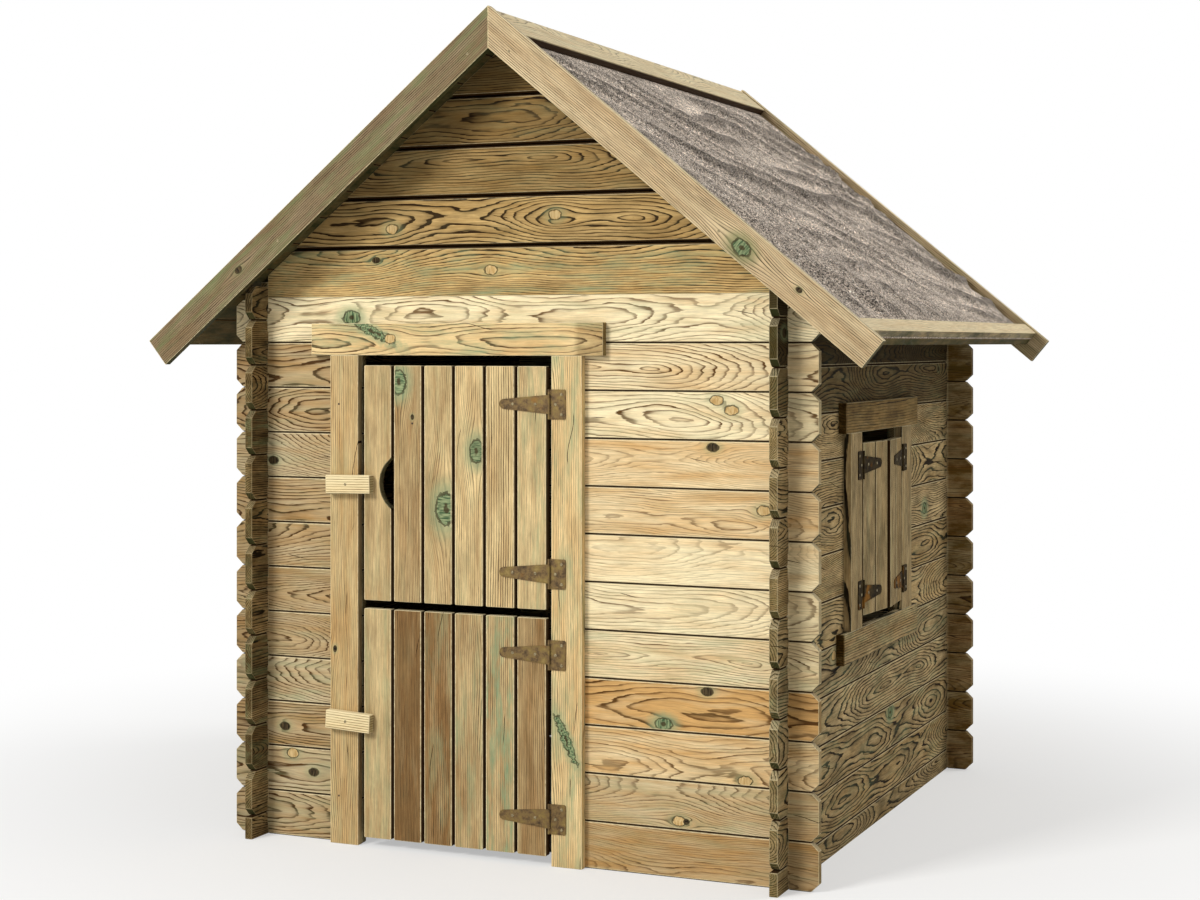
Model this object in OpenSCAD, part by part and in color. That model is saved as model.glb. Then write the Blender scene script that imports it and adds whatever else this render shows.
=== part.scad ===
// Wooden garden house: interlocking log-board walls, a stable door in two leaves on T-hinges,
// a shuttered side window and a steep gabled roof with barge boards.
// Frame: x across the front, y from front to back, z up. The origin is on the ground under the
// middle of the roof.

/* [Walls] */
// Width over the outer faces of the two side walls
house_w = 1240; // [1000:10:1800]
// Depth from the outer face of the front wall to the outer face of the back wall
house_d = 1325; // [1000:5:2000]
// Thickness of the log boards
board_t = 18; // [14:1:30]
// Height of one course of boards
course_h = 100; // [85:1:120]
// Number of courses in the front and back walls
courses = 12; // [11:1:14]
// How far the board ends run past the crossing wall
end_out = 65; // [40:1:90]
// Corner cut off each board end, at 45 degrees
end_clip = 17; // [8:1:22]
// Depth of the V between two boards
vee = 2.5; // [1:0.5:5]

/* [Gables] */
// Height of one gable board
gable_board_h = 107; // [85:1:130]

/* [Roof] */
// Slope of the roof
pitch = 39.5; // [30:0.5:45]
// Roof past the outer face of the front wall
front_over = 105; // [85:5:200]
// Roof past the outer face of the back wall
rear_over = 170; // [85:5:300]
// Barge boards past the outer face of a side wall, measured level
eave_over = 227.2; // [100:0.1:400]
// Underside of the roof deck above the top course, at the outer face of a side wall
side_rise = 35.2; // [10:0.1:50]
// Width of a barge board
barge_w = 69; // [55:1:110]
// Thickness of a barge board
barge_t = 18; // [14:1:25]
// Barge boards above the roofing felt
barge_lip = 22; // [19:0.5:35]
// Thickness of the roofing felt
felt_t = 3; // [2:0.5:6]
// Thickness of the roof deck boards
deck_t = 18; // [12:1:25]
// Width of one roof deck board
deck_board_w = 88; // [70:1:120]
// End of the deck short of the end of the barge boards
deck_short = 38; // [20:1:60]
// Width of the eave battens
eave_batten_w = 38; // [25:1:60]
// Width of the ridge boards
ridge_board_w = 90; // [60:1:120]
// Thickness of the eave battens and ridge boards
cap_t = 18; // [12:1:22]

/* [Door] */
// Left edge of the door leaves, from the middle of the house
leaf_x = -348; // [-450:1:-250]
// Width of the door leaves
leaf_w = 445; // [380:1:560]
// Number of boards in a leaf
leaf_boards = 6; // [4:1:8]
// Thickness of the leaf boards
leaf_t = 18; // [14:1:25]
// Bottom of the lower leaf
lower_leaf_z = 20; // [10:1:40]
// Height of the lower leaf
lower_leaf_h = 500; // [400:5:600]
// Gap between the two leaves
leaf_gap = 18; // [8:1:30]
// Height of the upper leaf
upper_leaf_h = 512; // [400:1:520]
// Gap between the upper leaf and the lintel
head_gap = 22; // [8:1:40]
// Gap between the leaves and the left jamb
latch_gap = 12; // [6:1:20]
// Gap between the leaves and the right jamb
hinge_gap = 8; // [6:1:14]
// Width of the jamb boards and the lintel
jamb_w = 70; // [55:1:90]
// Thickness of the jamb boards and the lintel
trim_t = 18; // [14:1:25]
// Lintel past the outer edges of the jambs
lintel_over = 48; // [20:1:80]
// Width of the ledges on the back of the leaves
ledge_w = 70; // [50:1:90]
// Thickness of the ledges
ledge_t = 18; // [14:1:25]
// Leaf front ahead of the jamb front
leaf_proud = 1; // [0.5:0.5:3]
// Radius of the crescent hand hole
moon_r = 66; // [50:1:80]
// Widest part of the crescent hand hole
moon_w = 32; // [20:1:45]
// Depth of the bevel round the crescent
moon_bevel = 2; // [0.5:0.5:4]
// Middle of the crescent above the middle of the upper leaf
moon_up = 0; // [-60:1:60]

/* [Turn buttons] */
// Length of a turn button
button_len = 110; // [80:1:140]
// Height of a turn button
button_h = 40; // [25:1:60]
// Thickness of a turn button
button_t = 20; // [14:1:28]
// Overlap of a turn button on its leaf
button_lap = 28; // [15:1:50]
// Edges of a turn button eased by
button_ease = 2; // [0.5:0.5:5]
// Upper turn button above the middle of its leaf
upper_button_up = -4; // [-100:1:100]
// Lower turn button above the middle of its leaf
lower_button_up = 4; // [-100:1:100]
// Tilt of the upper turn button, its free end up
upper_button_tilt = 1; // [-8:0.5:8]
// Tilt of the lower turn button, its free end up
lower_button_tilt = -3; // [-8:0.5:8]

/* [Hinges] */
// Height of a hinge plate
plate_h = 63; // [50:1:80]
// Width of a hinge plate, from the pin
plate_w = 38; // [30:1:48]
// Thickness of the hinge steel
steel_t = 2; // [1.5:0.1:2.5]
// Length of a strap, from the pin
strap_len = 116; // [80:1:150]
// Height of a strap at the pin
strap_h = 41; // [30:1:44]
// Height of a strap at its round tip
strap_tip_h = 21; // [14:1:28]
// Radius of the hinge pin
pin_r = 1.5; // [1:0.1:1.8]
// Clearance between the pin and the bore of the strap's knuckle
pin_fit = 0.05; // [0.02:0.01:0.08]
// Outer radius of the knuckles
knuckle_r = 3; // [2.6:0.1:3.4]
// Gap between the knuckles along the pin
knuckle_gap = 0.5; // [0.3:0.1:1]
// Middle of a leaf's outer hinge from the end of the leaf
outer_hinge_in = 80; // [60:1:110]
// Middle of a leaf's inner hinge, by the split of the door, from the end of the leaf
inner_hinge_in = 76; // [60:1:110]
// Radius of the rounded corners of a hinge plate
plate_corner_r = 4; // [1:0.5:6]
// Radius of the screw holes in the hinges
screw_hole_r = 2.4; // [1.5:0.1:3]
// First screw hole of a strap from the pin
strap_hole_near = 32; // [20:1:40]
// Second screw hole of a strap from the pin
strap_hole_far = 85; // [50:1:95]
// Middle screw hole of a plate from the pin
plate_hole_near = 14.5; // [10:0.5:18]
// Upper and lower screw holes of a plate from the pin
plate_hole_far = 28.5; // [22:0.5:32]
// Upper and lower screw holes of a plate from its ends
plate_hole_in = 10.5; // [6:0.5:14]

/* [Window] */
// Front edge of the window between its jambs, from the outer face of the front wall
window_y = 470; // [380:5:600]
// Width of the window between its jambs
window_w = 334; // [280:2:420]
// Course line under the window, counted from the ground half board
window_from = 5; // [3:1:6]
// Courses cut by the window
window_courses = 5; // [4:1:5]
// Window header below the top edge of the opening in the wall
header_lap = 48; // [10:1:60]
// Window sill board above the bottom edge of the opening in the wall
sill_lap = 20; // [5:1:40]
// Height of the header and the sill board
window_trim_h = 67; // [50:1:90]
// Width of the window jambs
window_jamb_w = 85; // [50:1:100]
// Header and sill board past the rear jamb
trim_over_rear = 55; // [20:1:80]
// Header past the front jamb
header_over_front = 37; // [20:1:80]
// Sill board past the front jamb
sill_over_front = 55; // [20:1:80]
// Gap between the shutters, and between a shutter and its jamb
shutter_gap = 5; // [3:1:10]
// Gap over and under the shutters
shutter_head_gap = 25; // [10:1:35]
// Angle at which the front shutter stands ajar
front_ajar = 4.5; // [0:0.5:30]
// Angle at which the rear shutter stands ajar
rear_ajar = 6; // [0:0.5:30]
// Middle of a shutter's hinge from the end of the shutter
shutter_hinge_in = 48; // [40:1:90]

/* [Hidden] */
$fn = 48;
eps = 1;

// Places that everything else is worked out from
roof_len = front_over + house_d + rear_over;
front_y = -roof_len / 2 + front_over;
back_y = front_y + house_d;
side_x = house_w / 2;
wall_top = courses * course_h;
half_course = course_h / 2;
quarter_course = course_h / 4;

// Layers of the roof, as depths square to the slope below the top of the barge boards
cap_depth = barge_lip - cap_t;
deck_depth = barge_lip + felt_t;
under_depth = deck_depth + deck_t;
// Top of the barge boards at the ridge, and their length along the upper edge
ridge_z = wall_top + side_rise + side_x * tan(pitch) + under_depth / cos(pitch);
barge_len = (side_x + eave_over) / cos(pitch);
deck_end = barge_len - deck_short;

// Door
leaf_end = leaf_x + leaf_w;
opening_x0 = leaf_x - latch_gap;
opening_x1 = leaf_end + hinge_gap;
leaf_board_w = leaf_w / leaf_boards;
upper_leaf_z = lower_leaf_z + lower_leaf_h + leaf_gap;
lintel_z = upper_leaf_z + upper_leaf_h + head_gap;
door_courses = ceil(lintel_z / course_h);
jamb_front = front_y - trim_t;
leaf_front = jamb_front - leaf_proud;
leaf_back = leaf_front + leaf_t;
pin_x = leaf_end + hinge_gap / 2;
pin_y = leaf_front - steel_t;
upper_hinge_zs = [upper_leaf_z + inner_hinge_in, upper_leaf_z + upper_leaf_h - outer_hinge_in];
lower_hinge_zs = [lower_leaf_z + outer_hinge_in, lower_leaf_z + lower_leaf_h - inner_hinge_in];

// Window
window_front = front_y + window_y;
window_rear = window_front + window_w;
cut_z0 = (window_from - 0.5) * course_h;
cut_z1 = cut_z0 + window_courses * course_h;
sill_z = cut_z0 + sill_lap;
header_z = cut_z1 - header_lap;
shutter_w = (window_w - 3 * shutter_gap) / 2;
shutter_z0 = sill_z + shutter_head_gap;
shutter_z1 = header_z - shutter_head_gap;
trim_face = side_x + trim_t;

wood = "burlywood";
old_wood = "tan";
shade_wood = "peru";
felt_grey = "dimgray";
steel = "darkgoldenrod";

// ---------- Log boards ----------

// Section of a board along x, its outer face at y = 0 and its inner face at y = board_t
module board_section(z0, z1, v0, v1) {
    polygon([
        [v0, z0], [board_t - v0, z0], [board_t, z0 + v0], [board_t, z1 - v1],
        [board_t - v1, z1], [v1, z1], [0, z1 - v1], [0, z0 + v0]
    ]);
}

// A board along x from x0 to x1. clip0 and clip1 cut the corners of its ends
module board(x0, x1, z0, z1, v0 = vee, v1 = vee, clip0 = 0, clip1 = 0) {
    if (clip0 == 0 && clip1 == 0)
        translate([x0, 0, 0]) rotate([90, 0, 90]) linear_extrude(x1 - x0) board_section(z0, z1, v0, v1);
    else intersection() {
        board(x0, x1, z0, z1, v0, v1);
        translate([0, board_t, 0]) rotate([90, 0, 0]) linear_extrude(board_t)
            polygon([
                [x0 + clip0, z0], [x1 - clip1, z0], [x1, z0 + clip1], [x1, z1 - clip1],
                [x1 - clip1, z1], [x0 + clip0, z1], [x0, z1 - clip0], [x0, z0 + clip0]
            ]);
    }
}

// Courses of a front or back wall from x0 to x1, with the notches for the side walls.
// Its outer face is at y = 0
module front_courses(k0, k1, x0, x1) {
    difference() {
        union() for (k = [k0 : k1 - 1])
            board(x0, x1, k * course_h, (k + 1) * course_h, k == 0 ? 0 : vee, k == courses - 1 ? 0 : vee,
                x0 < -side_x ? end_clip : 0, x1 > side_x ? end_clip : 0);
        for (side = [-1, 1], k = [0 : courses])
            translate([side * (side_x - board_t / 2), board_t / 2, k * course_h])
                cube([board_t, board_t + 2 * eps, half_course], center = true);
    }
}

// Courses of a side wall from place y0 to y1 along the wall. They stand half a course lower than
// the front boards. The wall runs along x here, its outer face is at y = 0
module side_courses(k0, k1, y0, y1) {
    ends0 = y0 < 0 ? end_clip : 0;
    ends1 = y1 > house_d ? end_clip : 0;
    difference() {
        union() {
            for (k = [k0 : k1 - 1])
                if (k == 0) board(y0, y1, 0, half_course, 0, vee, 0, 0);
                else if (k < courses)
                    board(y0, y1, (k - 0.5) * course_h, (k + 0.5) * course_h, vee, vee, ends0, ends1);
                else side_top_board(y0, y1);
        }
        for (y = [board_t / 2, house_d - board_t / 2], k = [0 : courses - 1])
            translate([y, board_t / 2, (k + 0.5) * course_h])
                cube([board_t, board_t + 2 * eps, half_course], center = true);
    }
}

// The top board of a side wall, before the roof cuts it: full height between the front and the back
// wall, and low past them
module side_top_board(y0, y1) {
    z0 = (courses - 0.5) * course_h;
    z_low = wall_top + quarter_course;
    union() {
        board(y0, y1, z0, z_low, vee, 0, end_clip, end_clip);
        board(0, house_d, z0, z_low + course_h, vee, 0);
    }
}

// Turns a wall that runs along x into the front, back, left or right wall
module at_front() { translate([0, front_y, 0]) children(); }
module at_back() { translate([0, back_y, 0]) mirror([0, 1, 0]) children(); }
module at_right() { translate([side_x, front_y, 0]) rotate([0, 0, 90]) children(); }
module at_left() { mirror([1, 0, 0]) at_right() children(); }

// Stands what lies in the frame of the right slope: x runs down the slope from the ridge, and z is
// square to it, with z = 0 at the top of the barge boards
module on_slope() { translate([0, 0, ridge_z]) rotate([0, pitch, 0]) children(); }
module left_side() { mirror([1, 0, 0]) children(); }

// A block far larger than the house, with its top face at z = top
module block_below(top) {
    reach = 2 * (ridge_z + roof_len);
    translate([-reach / 2, -reach / 2, top - reach]) cube(reach);
}
// Cuts off what reaches above the underside of the roof deck
module under_roof() {
    intersection() {
        children();
        on_slope() block_below(-under_depth);
        left_side() on_slope() block_below(-under_depth);
    }
}

module front_wall_left() {
    color(wood) at_front() front_courses(0, door_courses, -side_x - end_out, opening_x0);
}
module front_wall_right() {
    color(wood) at_front() front_courses(0, door_courses, opening_x1, side_x + end_out);
}
module front_wall_over_door() {
    color(wood) under_roof() at_front()
        front_courses(door_courses, courses, -side_x - end_out, side_x + end_out);
}
module back_wall() {
    color(wood) under_roof() at_back() front_courses(0, courses, -side_x - end_out, side_x + end_out);
}
module left_wall() {
    color(old_wood) under_roof() at_left() side_courses(0, courses + 1, -end_out, house_d + end_out);
}
module right_wall_below_window() {
    color(old_wood) at_right() side_courses(0, window_from, -end_out, house_d + end_out);
}
module right_wall_before_window() {
    color(old_wood) at_right() side_courses(window_from, window_from + window_courses, -end_out, window_y);
}
module right_wall_behind_window() {
    color(old_wood) at_right()
        side_courses(window_from, window_from + window_courses, window_y + window_w, house_d + end_out);
}
module right_wall_over_window() {
    color(old_wood) under_roof() at_right()
        side_courses(window_from + window_courses, courses + 1, -end_out, house_d + end_out);
}

// ---------- Gables ----------

// The gable boards stand on the top course between the side walls. The roof cuts them to its slopes
module gable() {
    x_in = side_x - board_t;
    for (z = [wall_top : gable_board_h : ridge_z])
        board(-x_in, x_in, z, z + gable_board_h, z == wall_top ? 0 : vee, vee);
}
module front_gable() { color(wood) under_roof() at_front() gable(); }
module back_gable() { color(wood) under_roof() at_back() gable(); }

// ---------- Roof ----------

// Cuts a piece of the right slope off at the middle of the house
module right_half() {
    intersection() {
        children();
        translate([0, -roof_len, 0]) cube([ridge_z, 2 * roof_len, ridge_z]);
    }
}
// A layer of the right slope between two depths, from s0 to s1 along the slope
module layer(depth0, depth1, s0, s1, len, y) {
    right_half() on_slope() translate([s0, y, -depth1]) cube([s1 - s0, len, depth1 - depth0]);
}
inner_y = -roof_len / 2 + barge_t;
inner_len = roof_len - 2 * barge_t;

// The deck boards run along the ridge, with a V between each two on their underside
module deck() {
    joints = [for (s = [deck_end - deck_board_w : -deck_board_w : 0]) s];
    right_half() on_slope() translate([0, inner_y + inner_len, 0]) rotate([90, 0, 0])
        linear_extrude(inner_len) polygon([
            [0, -deck_depth], [deck_end, -deck_depth], [deck_end, -under_depth],
            for (s = joints) each [[s + vee, -under_depth], [s, vee - under_depth], [s - vee, -under_depth]],
            [0, -under_depth]
        ]);
}
module felt() { layer(barge_lip, deck_depth, 0, deck_end, inner_len, inner_y); }
module ridge_board() { layer(cap_depth, barge_lip, 0, ridge_board_w, inner_len, inner_y); }
module eave_batten() { layer(cap_depth, barge_lip, deck_end - eave_batten_w, deck_end, inner_len, inner_y); }
module barge(y) { layer(0, barge_w, 0, barge_len, barge_t, y); }

module roof_deck_right() { color(shade_wood) deck(); }
module roof_deck_left() { color(shade_wood) left_side() deck(); }
module roof_felt_right() { color(felt_grey) felt(); }
module roof_felt_left() { color(felt_grey) left_side() felt(); }
module ridge_board_right() { color(wood) ridge_board(); }
module ridge_board_left() { color(wood) left_side() ridge_board(); }
module eave_batten_right() { color(wood) eave_batten(); }
module eave_batten_left() { color(wood) left_side() eave_batten(); }
module barge_front_right() { color(old_wood) barge(-roof_len / 2); }
module barge_front_left() { color(old_wood) left_side() barge(-roof_len / 2); }
module barge_rear_right() { color(old_wood) barge(roof_len / 2 - barge_t); }
module barge_rear_left() { color(old_wood) left_side() barge(roof_len / 2 - barge_t); }

// ---------- Door ----------

module door_jamb_left() {
    color(wood) translate([opening_x0 - jamb_w, jamb_front, 0]) cube([jamb_w, trim_t, lintel_z]);
}
module door_jamb_right() {
    color(wood) translate([opening_x1, jamb_front, 0]) cube([jamb_w, trim_t, lintel_z]);
}
module door_lintel() {
    color(wood) translate([opening_x0 - jamb_w - lintel_over, jamb_front, lintel_z])
        cube([opening_x1 - opening_x0 + 2 * (jamb_w + lintel_over), trim_t, jamb_w]);
}

// Boards n0 to n1 - 1 of a leaf, with a V between each two
module leaf_boards(n0, n1, z, h) {
    translate([0, leaf_front, z]) linear_extrude(h) union() for (n = [n0 : n1 - 1]) {
        x0 = leaf_x + n * leaf_board_w;
        x1 = x0 + leaf_board_w;
        polygon([
            [x0, vee], [x0 + vee, 0], [x1 - vee, 0], [x1, vee], [x1, leaf_t - vee],
            [x1 - vee, leaf_t], [x0 + vee, leaf_t], [x0, leaf_t - vee]
        ]);
    }
}
module ledges(zs) {
    for (z = zs) translate([leaf_x + leaf_board_w / 2, leaf_back, z - ledge_w / 2])
        cube([leaf_w - leaf_board_w, ledge_t, ledge_w]);
}

// The first board of the upper leaf carries the crescent hand hole at its right edge, bevelled in front
module upper_door_pull_board() {
    moon_x = leaf_x + leaf_board_w - moon_w + moon_r;
    moon_z = upper_leaf_z + upper_leaf_h / 2 + moon_up;
    color(wood) difference() {
        leaf_boards(0, 1, upper_leaf_z, upper_leaf_h);
        translate([moon_x, leaf_back + eps, moon_z]) rotate([90, 0, 0])
            cylinder(r = moon_r, h = leaf_t + 2 * eps);
        translate([moon_x, leaf_front + moon_bevel, moon_z]) rotate([90, 0, 0])
            cylinder(r1 = moon_r, r2 = moon_r + moon_bevel + eps, h = moon_bevel + eps);
    }
}
module upper_door_boards() { color(wood) leaf_boards(1, leaf_boards, upper_leaf_z, upper_leaf_h); }
module lower_door_boards() { color(wood) leaf_boards(0, leaf_boards, lower_leaf_z, lower_leaf_h); }
module upper_door_ledges() { color(old_wood) ledges(upper_hinge_zs); }
module lower_door_ledges() { color(old_wood) ledges(lower_hinge_zs); }

// A turn button level with z, tilted about its screw in the middle of the jamb board. Its long edges
// are eased in front
module turn_button(z, tilt) {
    screw_x = opening_x0 - jamb_w / 2;
    half = button_h / 2;
    translate([screw_x, leaf_front, z]) rotate([0, -tilt, 0])
        translate([leaf_x + button_lap - button_len - screw_x, 0, 0])
            rotate([90, 0, 90]) linear_extrude(button_len) polygon([
                [0, -half], [0, half], [button_ease - button_t, half], [-button_t, half - button_ease],
                [-button_t, button_ease - half], [button_ease - button_t, -half]
            ]);
}
module upper_turn_button() {
    color("wheat") turn_button(upper_leaf_z + upper_leaf_h / 2 + upper_button_up, upper_button_tilt);
}
module lower_turn_button() {
    color("wheat") turn_button(lower_leaf_z + lower_leaf_h / 2 + lower_button_up, lower_button_tilt);
}

// ---------- T-hinges ----------

// A screw hole through the hinge steel
module screw_hole(x, z) {
    translate([x, eps, z]) rotate([90, 0, 0]) cylinder(r = screw_hole_r, h = steel_t + 2 * eps);
}
// Strap of a hinge on the left of its pin, its back at y = 0 and its middle at z = 0
module strap(pin_back, gap) {
    tip_r = strap_tip_h / 2;
    mid = strap_h / 2 - knuckle_gap;
    difference() {
        union() {
            rotate([90, 0, 0]) linear_extrude(steel_t) {
                polygon([
                    [-gap / 2, mid], [-strap_len + tip_r, tip_r], [-strap_len + tip_r, -tip_r], [-gap / 2, -mid]
                ]);
                translate([-strap_len + tip_r, 0]) circle(tip_r);
                translate([-gap / 2 - eps, -mid]) square([gap / 2 + eps, 2 * mid]);
            }
            translate([0, -pin_back, -mid]) cylinder(r = knuckle_r, h = 2 * mid);
        }
        translate([0, -pin_back, -mid - eps]) cylinder(r = pin_r + pin_fit, h = 2 * (mid + eps));
        for (x = [strap_hole_near, strap_hole_far]) screw_hole(-x, 0);
    }
}

// Plate of a hinge on the right of its pin, with the two outer knuckles and the pin
module plate(pin_back) {
    mid = strap_h / 2;
    half = plate_h / 2;
    clear = knuckle_r + 1;
    corner = plate_corner_r;
    difference() {
        rotate([90, 0, 0]) linear_extrude(steel_t) {
            translate([clear, -half]) square([plate_w - corner - clear, plate_h]);
            translate([clear, corner - half]) square([plate_w - clear, plate_h - 2 * corner]);
            for (z = [-1, 1]) translate([plate_w - corner, z * (half - corner)]) circle(corner);
            for (z = [-half, mid]) translate([0, z]) square([clear + eps, half - mid]);
        }
        screw_hole(plate_hole_near, 0);
        for (z = [-1, 1]) screw_hole(plate_hole_far, z * (half - plate_hole_in));
    }
    for (s = [-1, 1]) translate([0, -pin_back, s * (mid + half) / 2])
        cylinder(r = knuckle_r, h = half - mid, center = true);
    translate([0, -pin_back, 0]) cylinder(r = pin_r, h = plate_h, center = true);
}
module upper_door_straps() {
    color(steel) for (z = upper_hinge_zs) translate([pin_x, leaf_front, z]) strap(steel_t, hinge_gap);
}
module lower_door_straps() {
    color(steel) for (z = lower_hinge_zs) translate([pin_x, leaf_front, z]) strap(steel_t, hinge_gap);
}
module door_hinge_plates() {
    color(steel) for (z = concat(upper_hinge_zs, lower_hinge_zs))
        translate([pin_x, jamb_front, z]) plate(steel_t + leaf_proud);
}

// ---------- Window ----------

module window_board(y0, y1, z0, z1) {
    translate([side_x, y0, z0]) cube([trim_t, y1 - y0, z1 - z0]);
}
module window_header() {
    color(old_wood) window_board(window_front - window_jamb_w - header_over_front,
        window_rear + window_jamb_w + trim_over_rear, header_z, header_z + window_trim_h);
}
module window_sill_board() {
    color(old_wood) window_board(window_front - window_jamb_w - sill_over_front,
        window_rear + window_jamb_w + trim_over_rear, sill_z - window_trim_h, sill_z);
}
module window_jamb_front() {
    color(old_wood) window_board(window_front - window_jamb_w, window_front, sill_z, header_z);
}
module window_jamb_rear() {
    color(old_wood) window_board(window_rear, window_rear + window_jamb_w, sill_z, header_z);
}

// A shutter of two boards. Its pin stands on x = 0, y = 0, and it reaches along x with its outer face
// behind the pin
module shutter() {
    translate([shutter_gap / 2, steel_t, shutter_z0])
        linear_extrude(shutter_z1 - shutter_z0) union() for (x0 = [0, shutter_w / 2]) {
            x1 = x0 + shutter_w / 2;
            polygon([
                [x0, vee], [x0 + vee, 0], [x1 - vee, 0], [x1, vee], [x1, trim_t - vee],
                [x1 - vee, trim_t], [x0 + vee, trim_t], [x0, trim_t - vee]
            ]);
        }
}
// Stands what reaches along x from its pin on the front edge of the window, turned out by ajar
module hang_front(ajar) {
    translate([trim_face + steel_t, window_front + shutter_gap / 2, 0])
        rotate([0, 0, 90 - ajar]) children();
}
// The same on the rear edge
module hang_rear(ajar) {
    translate([0, window_front + window_rear, 0]) mirror([0, 1, 0]) hang_front(ajar) children();
}
shutter_hinge_zs = [shutter_z0 + shutter_hinge_in, shutter_z1 - shutter_hinge_in];
module shutter_hinge_side() {
    for (z = shutter_hinge_zs) translate([0, steel_t, z]) mirror([1, 0, 0]) children();
}
module shutter_front() { color(old_wood) hang_front(front_ajar) shutter(); }
module shutter_rear() { color(old_wood) hang_rear(rear_ajar) shutter(); }
module shutter_straps() {
    color(steel) hang_front(front_ajar) shutter_hinge_side() strap(steel_t, shutter_gap);
    color(steel) hang_rear(rear_ajar) shutter_hinge_side() strap(steel_t, shutter_gap);
}
module shutter_hinge_plates() {
    color(steel) hang_front(0) shutter_hinge_side() plate(steel_t);
    color(steel) hang_rear(0) shutter_hinge_side() plate(steel_t);
}

front_wall_left();
front_wall_right();
front_wall_over_door();
front_gable();
back_wall();
back_gable();
left_wall();
right_wall_below_window();
right_wall_before_window();
right_wall_behind_window();
right_wall_over_window();
door_jamb_left();
door_jamb_right();
door_lintel();
upper_door_pull_board();
upper_door_boards();
upper_door_ledges();
lower_door_boards();
lower_door_ledges();
upper_door_straps();
lower_door_straps();
door_hinge_plates();
upper_turn_button();
lower_turn_button();
window_header();
window_sill_board();
window_jamb_front();
window_jamb_rear();
shutter_front();
shutter_rear();
shutter_straps();
shutter_hinge_plates();
roof_deck_left();
roof_deck_right();
roof_felt_left();
roof_felt_right();
ridge_board_left();
ridge_board_right();
eave_batten_left();
eave_batten_right();
barge_front_left();
barge_front_right();
barge_rear_left();
barge_rear_right();
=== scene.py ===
# %% [markdown]
# # A log-board garden house, finished in Blender
# The construction of the house is fixed: every board, hinge and gap already has its place and size in
# the frame that the first cell loads. This lesson gives it its looks: planed and pressure-treated pine
# with its rings and knots, grey mineral felt on the roof, bronzed T-hinges, and the nails and screws
# that hold it together. Each step says what the real thing is before it makes it.

# %% The frame and the tools
import math
import random
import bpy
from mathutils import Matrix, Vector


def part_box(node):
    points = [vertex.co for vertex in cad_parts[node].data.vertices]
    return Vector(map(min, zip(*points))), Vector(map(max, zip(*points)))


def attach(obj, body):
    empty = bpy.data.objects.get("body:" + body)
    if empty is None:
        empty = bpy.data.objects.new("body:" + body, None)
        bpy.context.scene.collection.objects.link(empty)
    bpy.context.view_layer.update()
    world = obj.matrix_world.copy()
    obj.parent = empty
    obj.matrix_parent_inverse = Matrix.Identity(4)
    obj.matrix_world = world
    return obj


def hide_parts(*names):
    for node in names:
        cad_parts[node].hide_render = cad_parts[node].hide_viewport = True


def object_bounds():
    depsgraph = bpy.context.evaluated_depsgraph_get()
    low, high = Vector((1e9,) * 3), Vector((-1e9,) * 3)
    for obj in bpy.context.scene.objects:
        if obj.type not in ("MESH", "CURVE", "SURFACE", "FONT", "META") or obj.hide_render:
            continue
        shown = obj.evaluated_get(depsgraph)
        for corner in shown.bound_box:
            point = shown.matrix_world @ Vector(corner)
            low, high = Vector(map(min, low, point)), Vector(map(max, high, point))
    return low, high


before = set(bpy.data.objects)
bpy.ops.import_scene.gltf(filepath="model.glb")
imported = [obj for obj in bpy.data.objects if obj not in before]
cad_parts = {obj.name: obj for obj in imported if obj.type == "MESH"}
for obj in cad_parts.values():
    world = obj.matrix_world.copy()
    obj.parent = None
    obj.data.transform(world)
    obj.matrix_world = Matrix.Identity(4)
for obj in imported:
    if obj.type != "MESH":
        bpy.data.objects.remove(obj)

from types import SimpleNamespace

import bmesh
import bpy
import numpy as np
from mathutils import Matrix, Vector, noise

MM = 0.001
LOW, HIGH = 0, 1
DOWN, UP, EAST, WEST = (0, 0, -1), (0, 0, 1), (1, 0, 0), (-1, 0, 0)
NORTH, SOUTH = (0, 1, 0), (0, -1, 0)
cad_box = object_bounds()
print("CAD box in metres:", cad_box)


def into_scene(name, data):
    """A new object of this data, linked to the scene."""
    thing = bpy.data.objects.new(name, data)
    bpy.context.scene.collection.objects.link(thing)
    return thing


def to_mesh(name, bm):
    """A new mesh of what was drawn. The drawing is let go."""
    mesh = bpy.data.meshes.new(name)
    bm.to_mesh(mesh)
    bm.free()
    return mesh


def keep(piece, body, node):
    """Lets a piece ride on its body, in place of a node of the frame."""
    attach(piece, body)
    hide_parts(node)
    print(piece.name, len(piece.data.polygons), "faces")

# %% [markdown]
# ## Places from the frame
# The walls, the door and the roof are read from the boxes of the frame's own nodes, so a board made here
# lands where the frame has it. Only what a box can't tell is written as a number: the slope of the roof,
# the clipped corners of the board ends, and the angles at which loose pieces hang.

# %% Walls
course_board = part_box("front_wall_over_door")
course_h = course_board[HIGH].z - course_board[LOW].z
board_t = course_board[HIGH].y - course_board[LOW].y
front_y = course_board[LOW].y
back_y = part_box("back_wall")[HIGH].y
side_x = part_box("right_wall_below_window")[HIGH].x
wall_top = course_board[HIGH].z
end_out = course_board[HIGH].x - side_x
courses = round(wall_top / course_h)
door_courses = round(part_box("front_wall_left")[HIGH].z / course_h)
house_d = back_y - front_y
end_clip = 17 * MM
vee = 2.5 * MM
print("walls", side_x, front_y, back_y, "courses", courses, "of", course_h)

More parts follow.
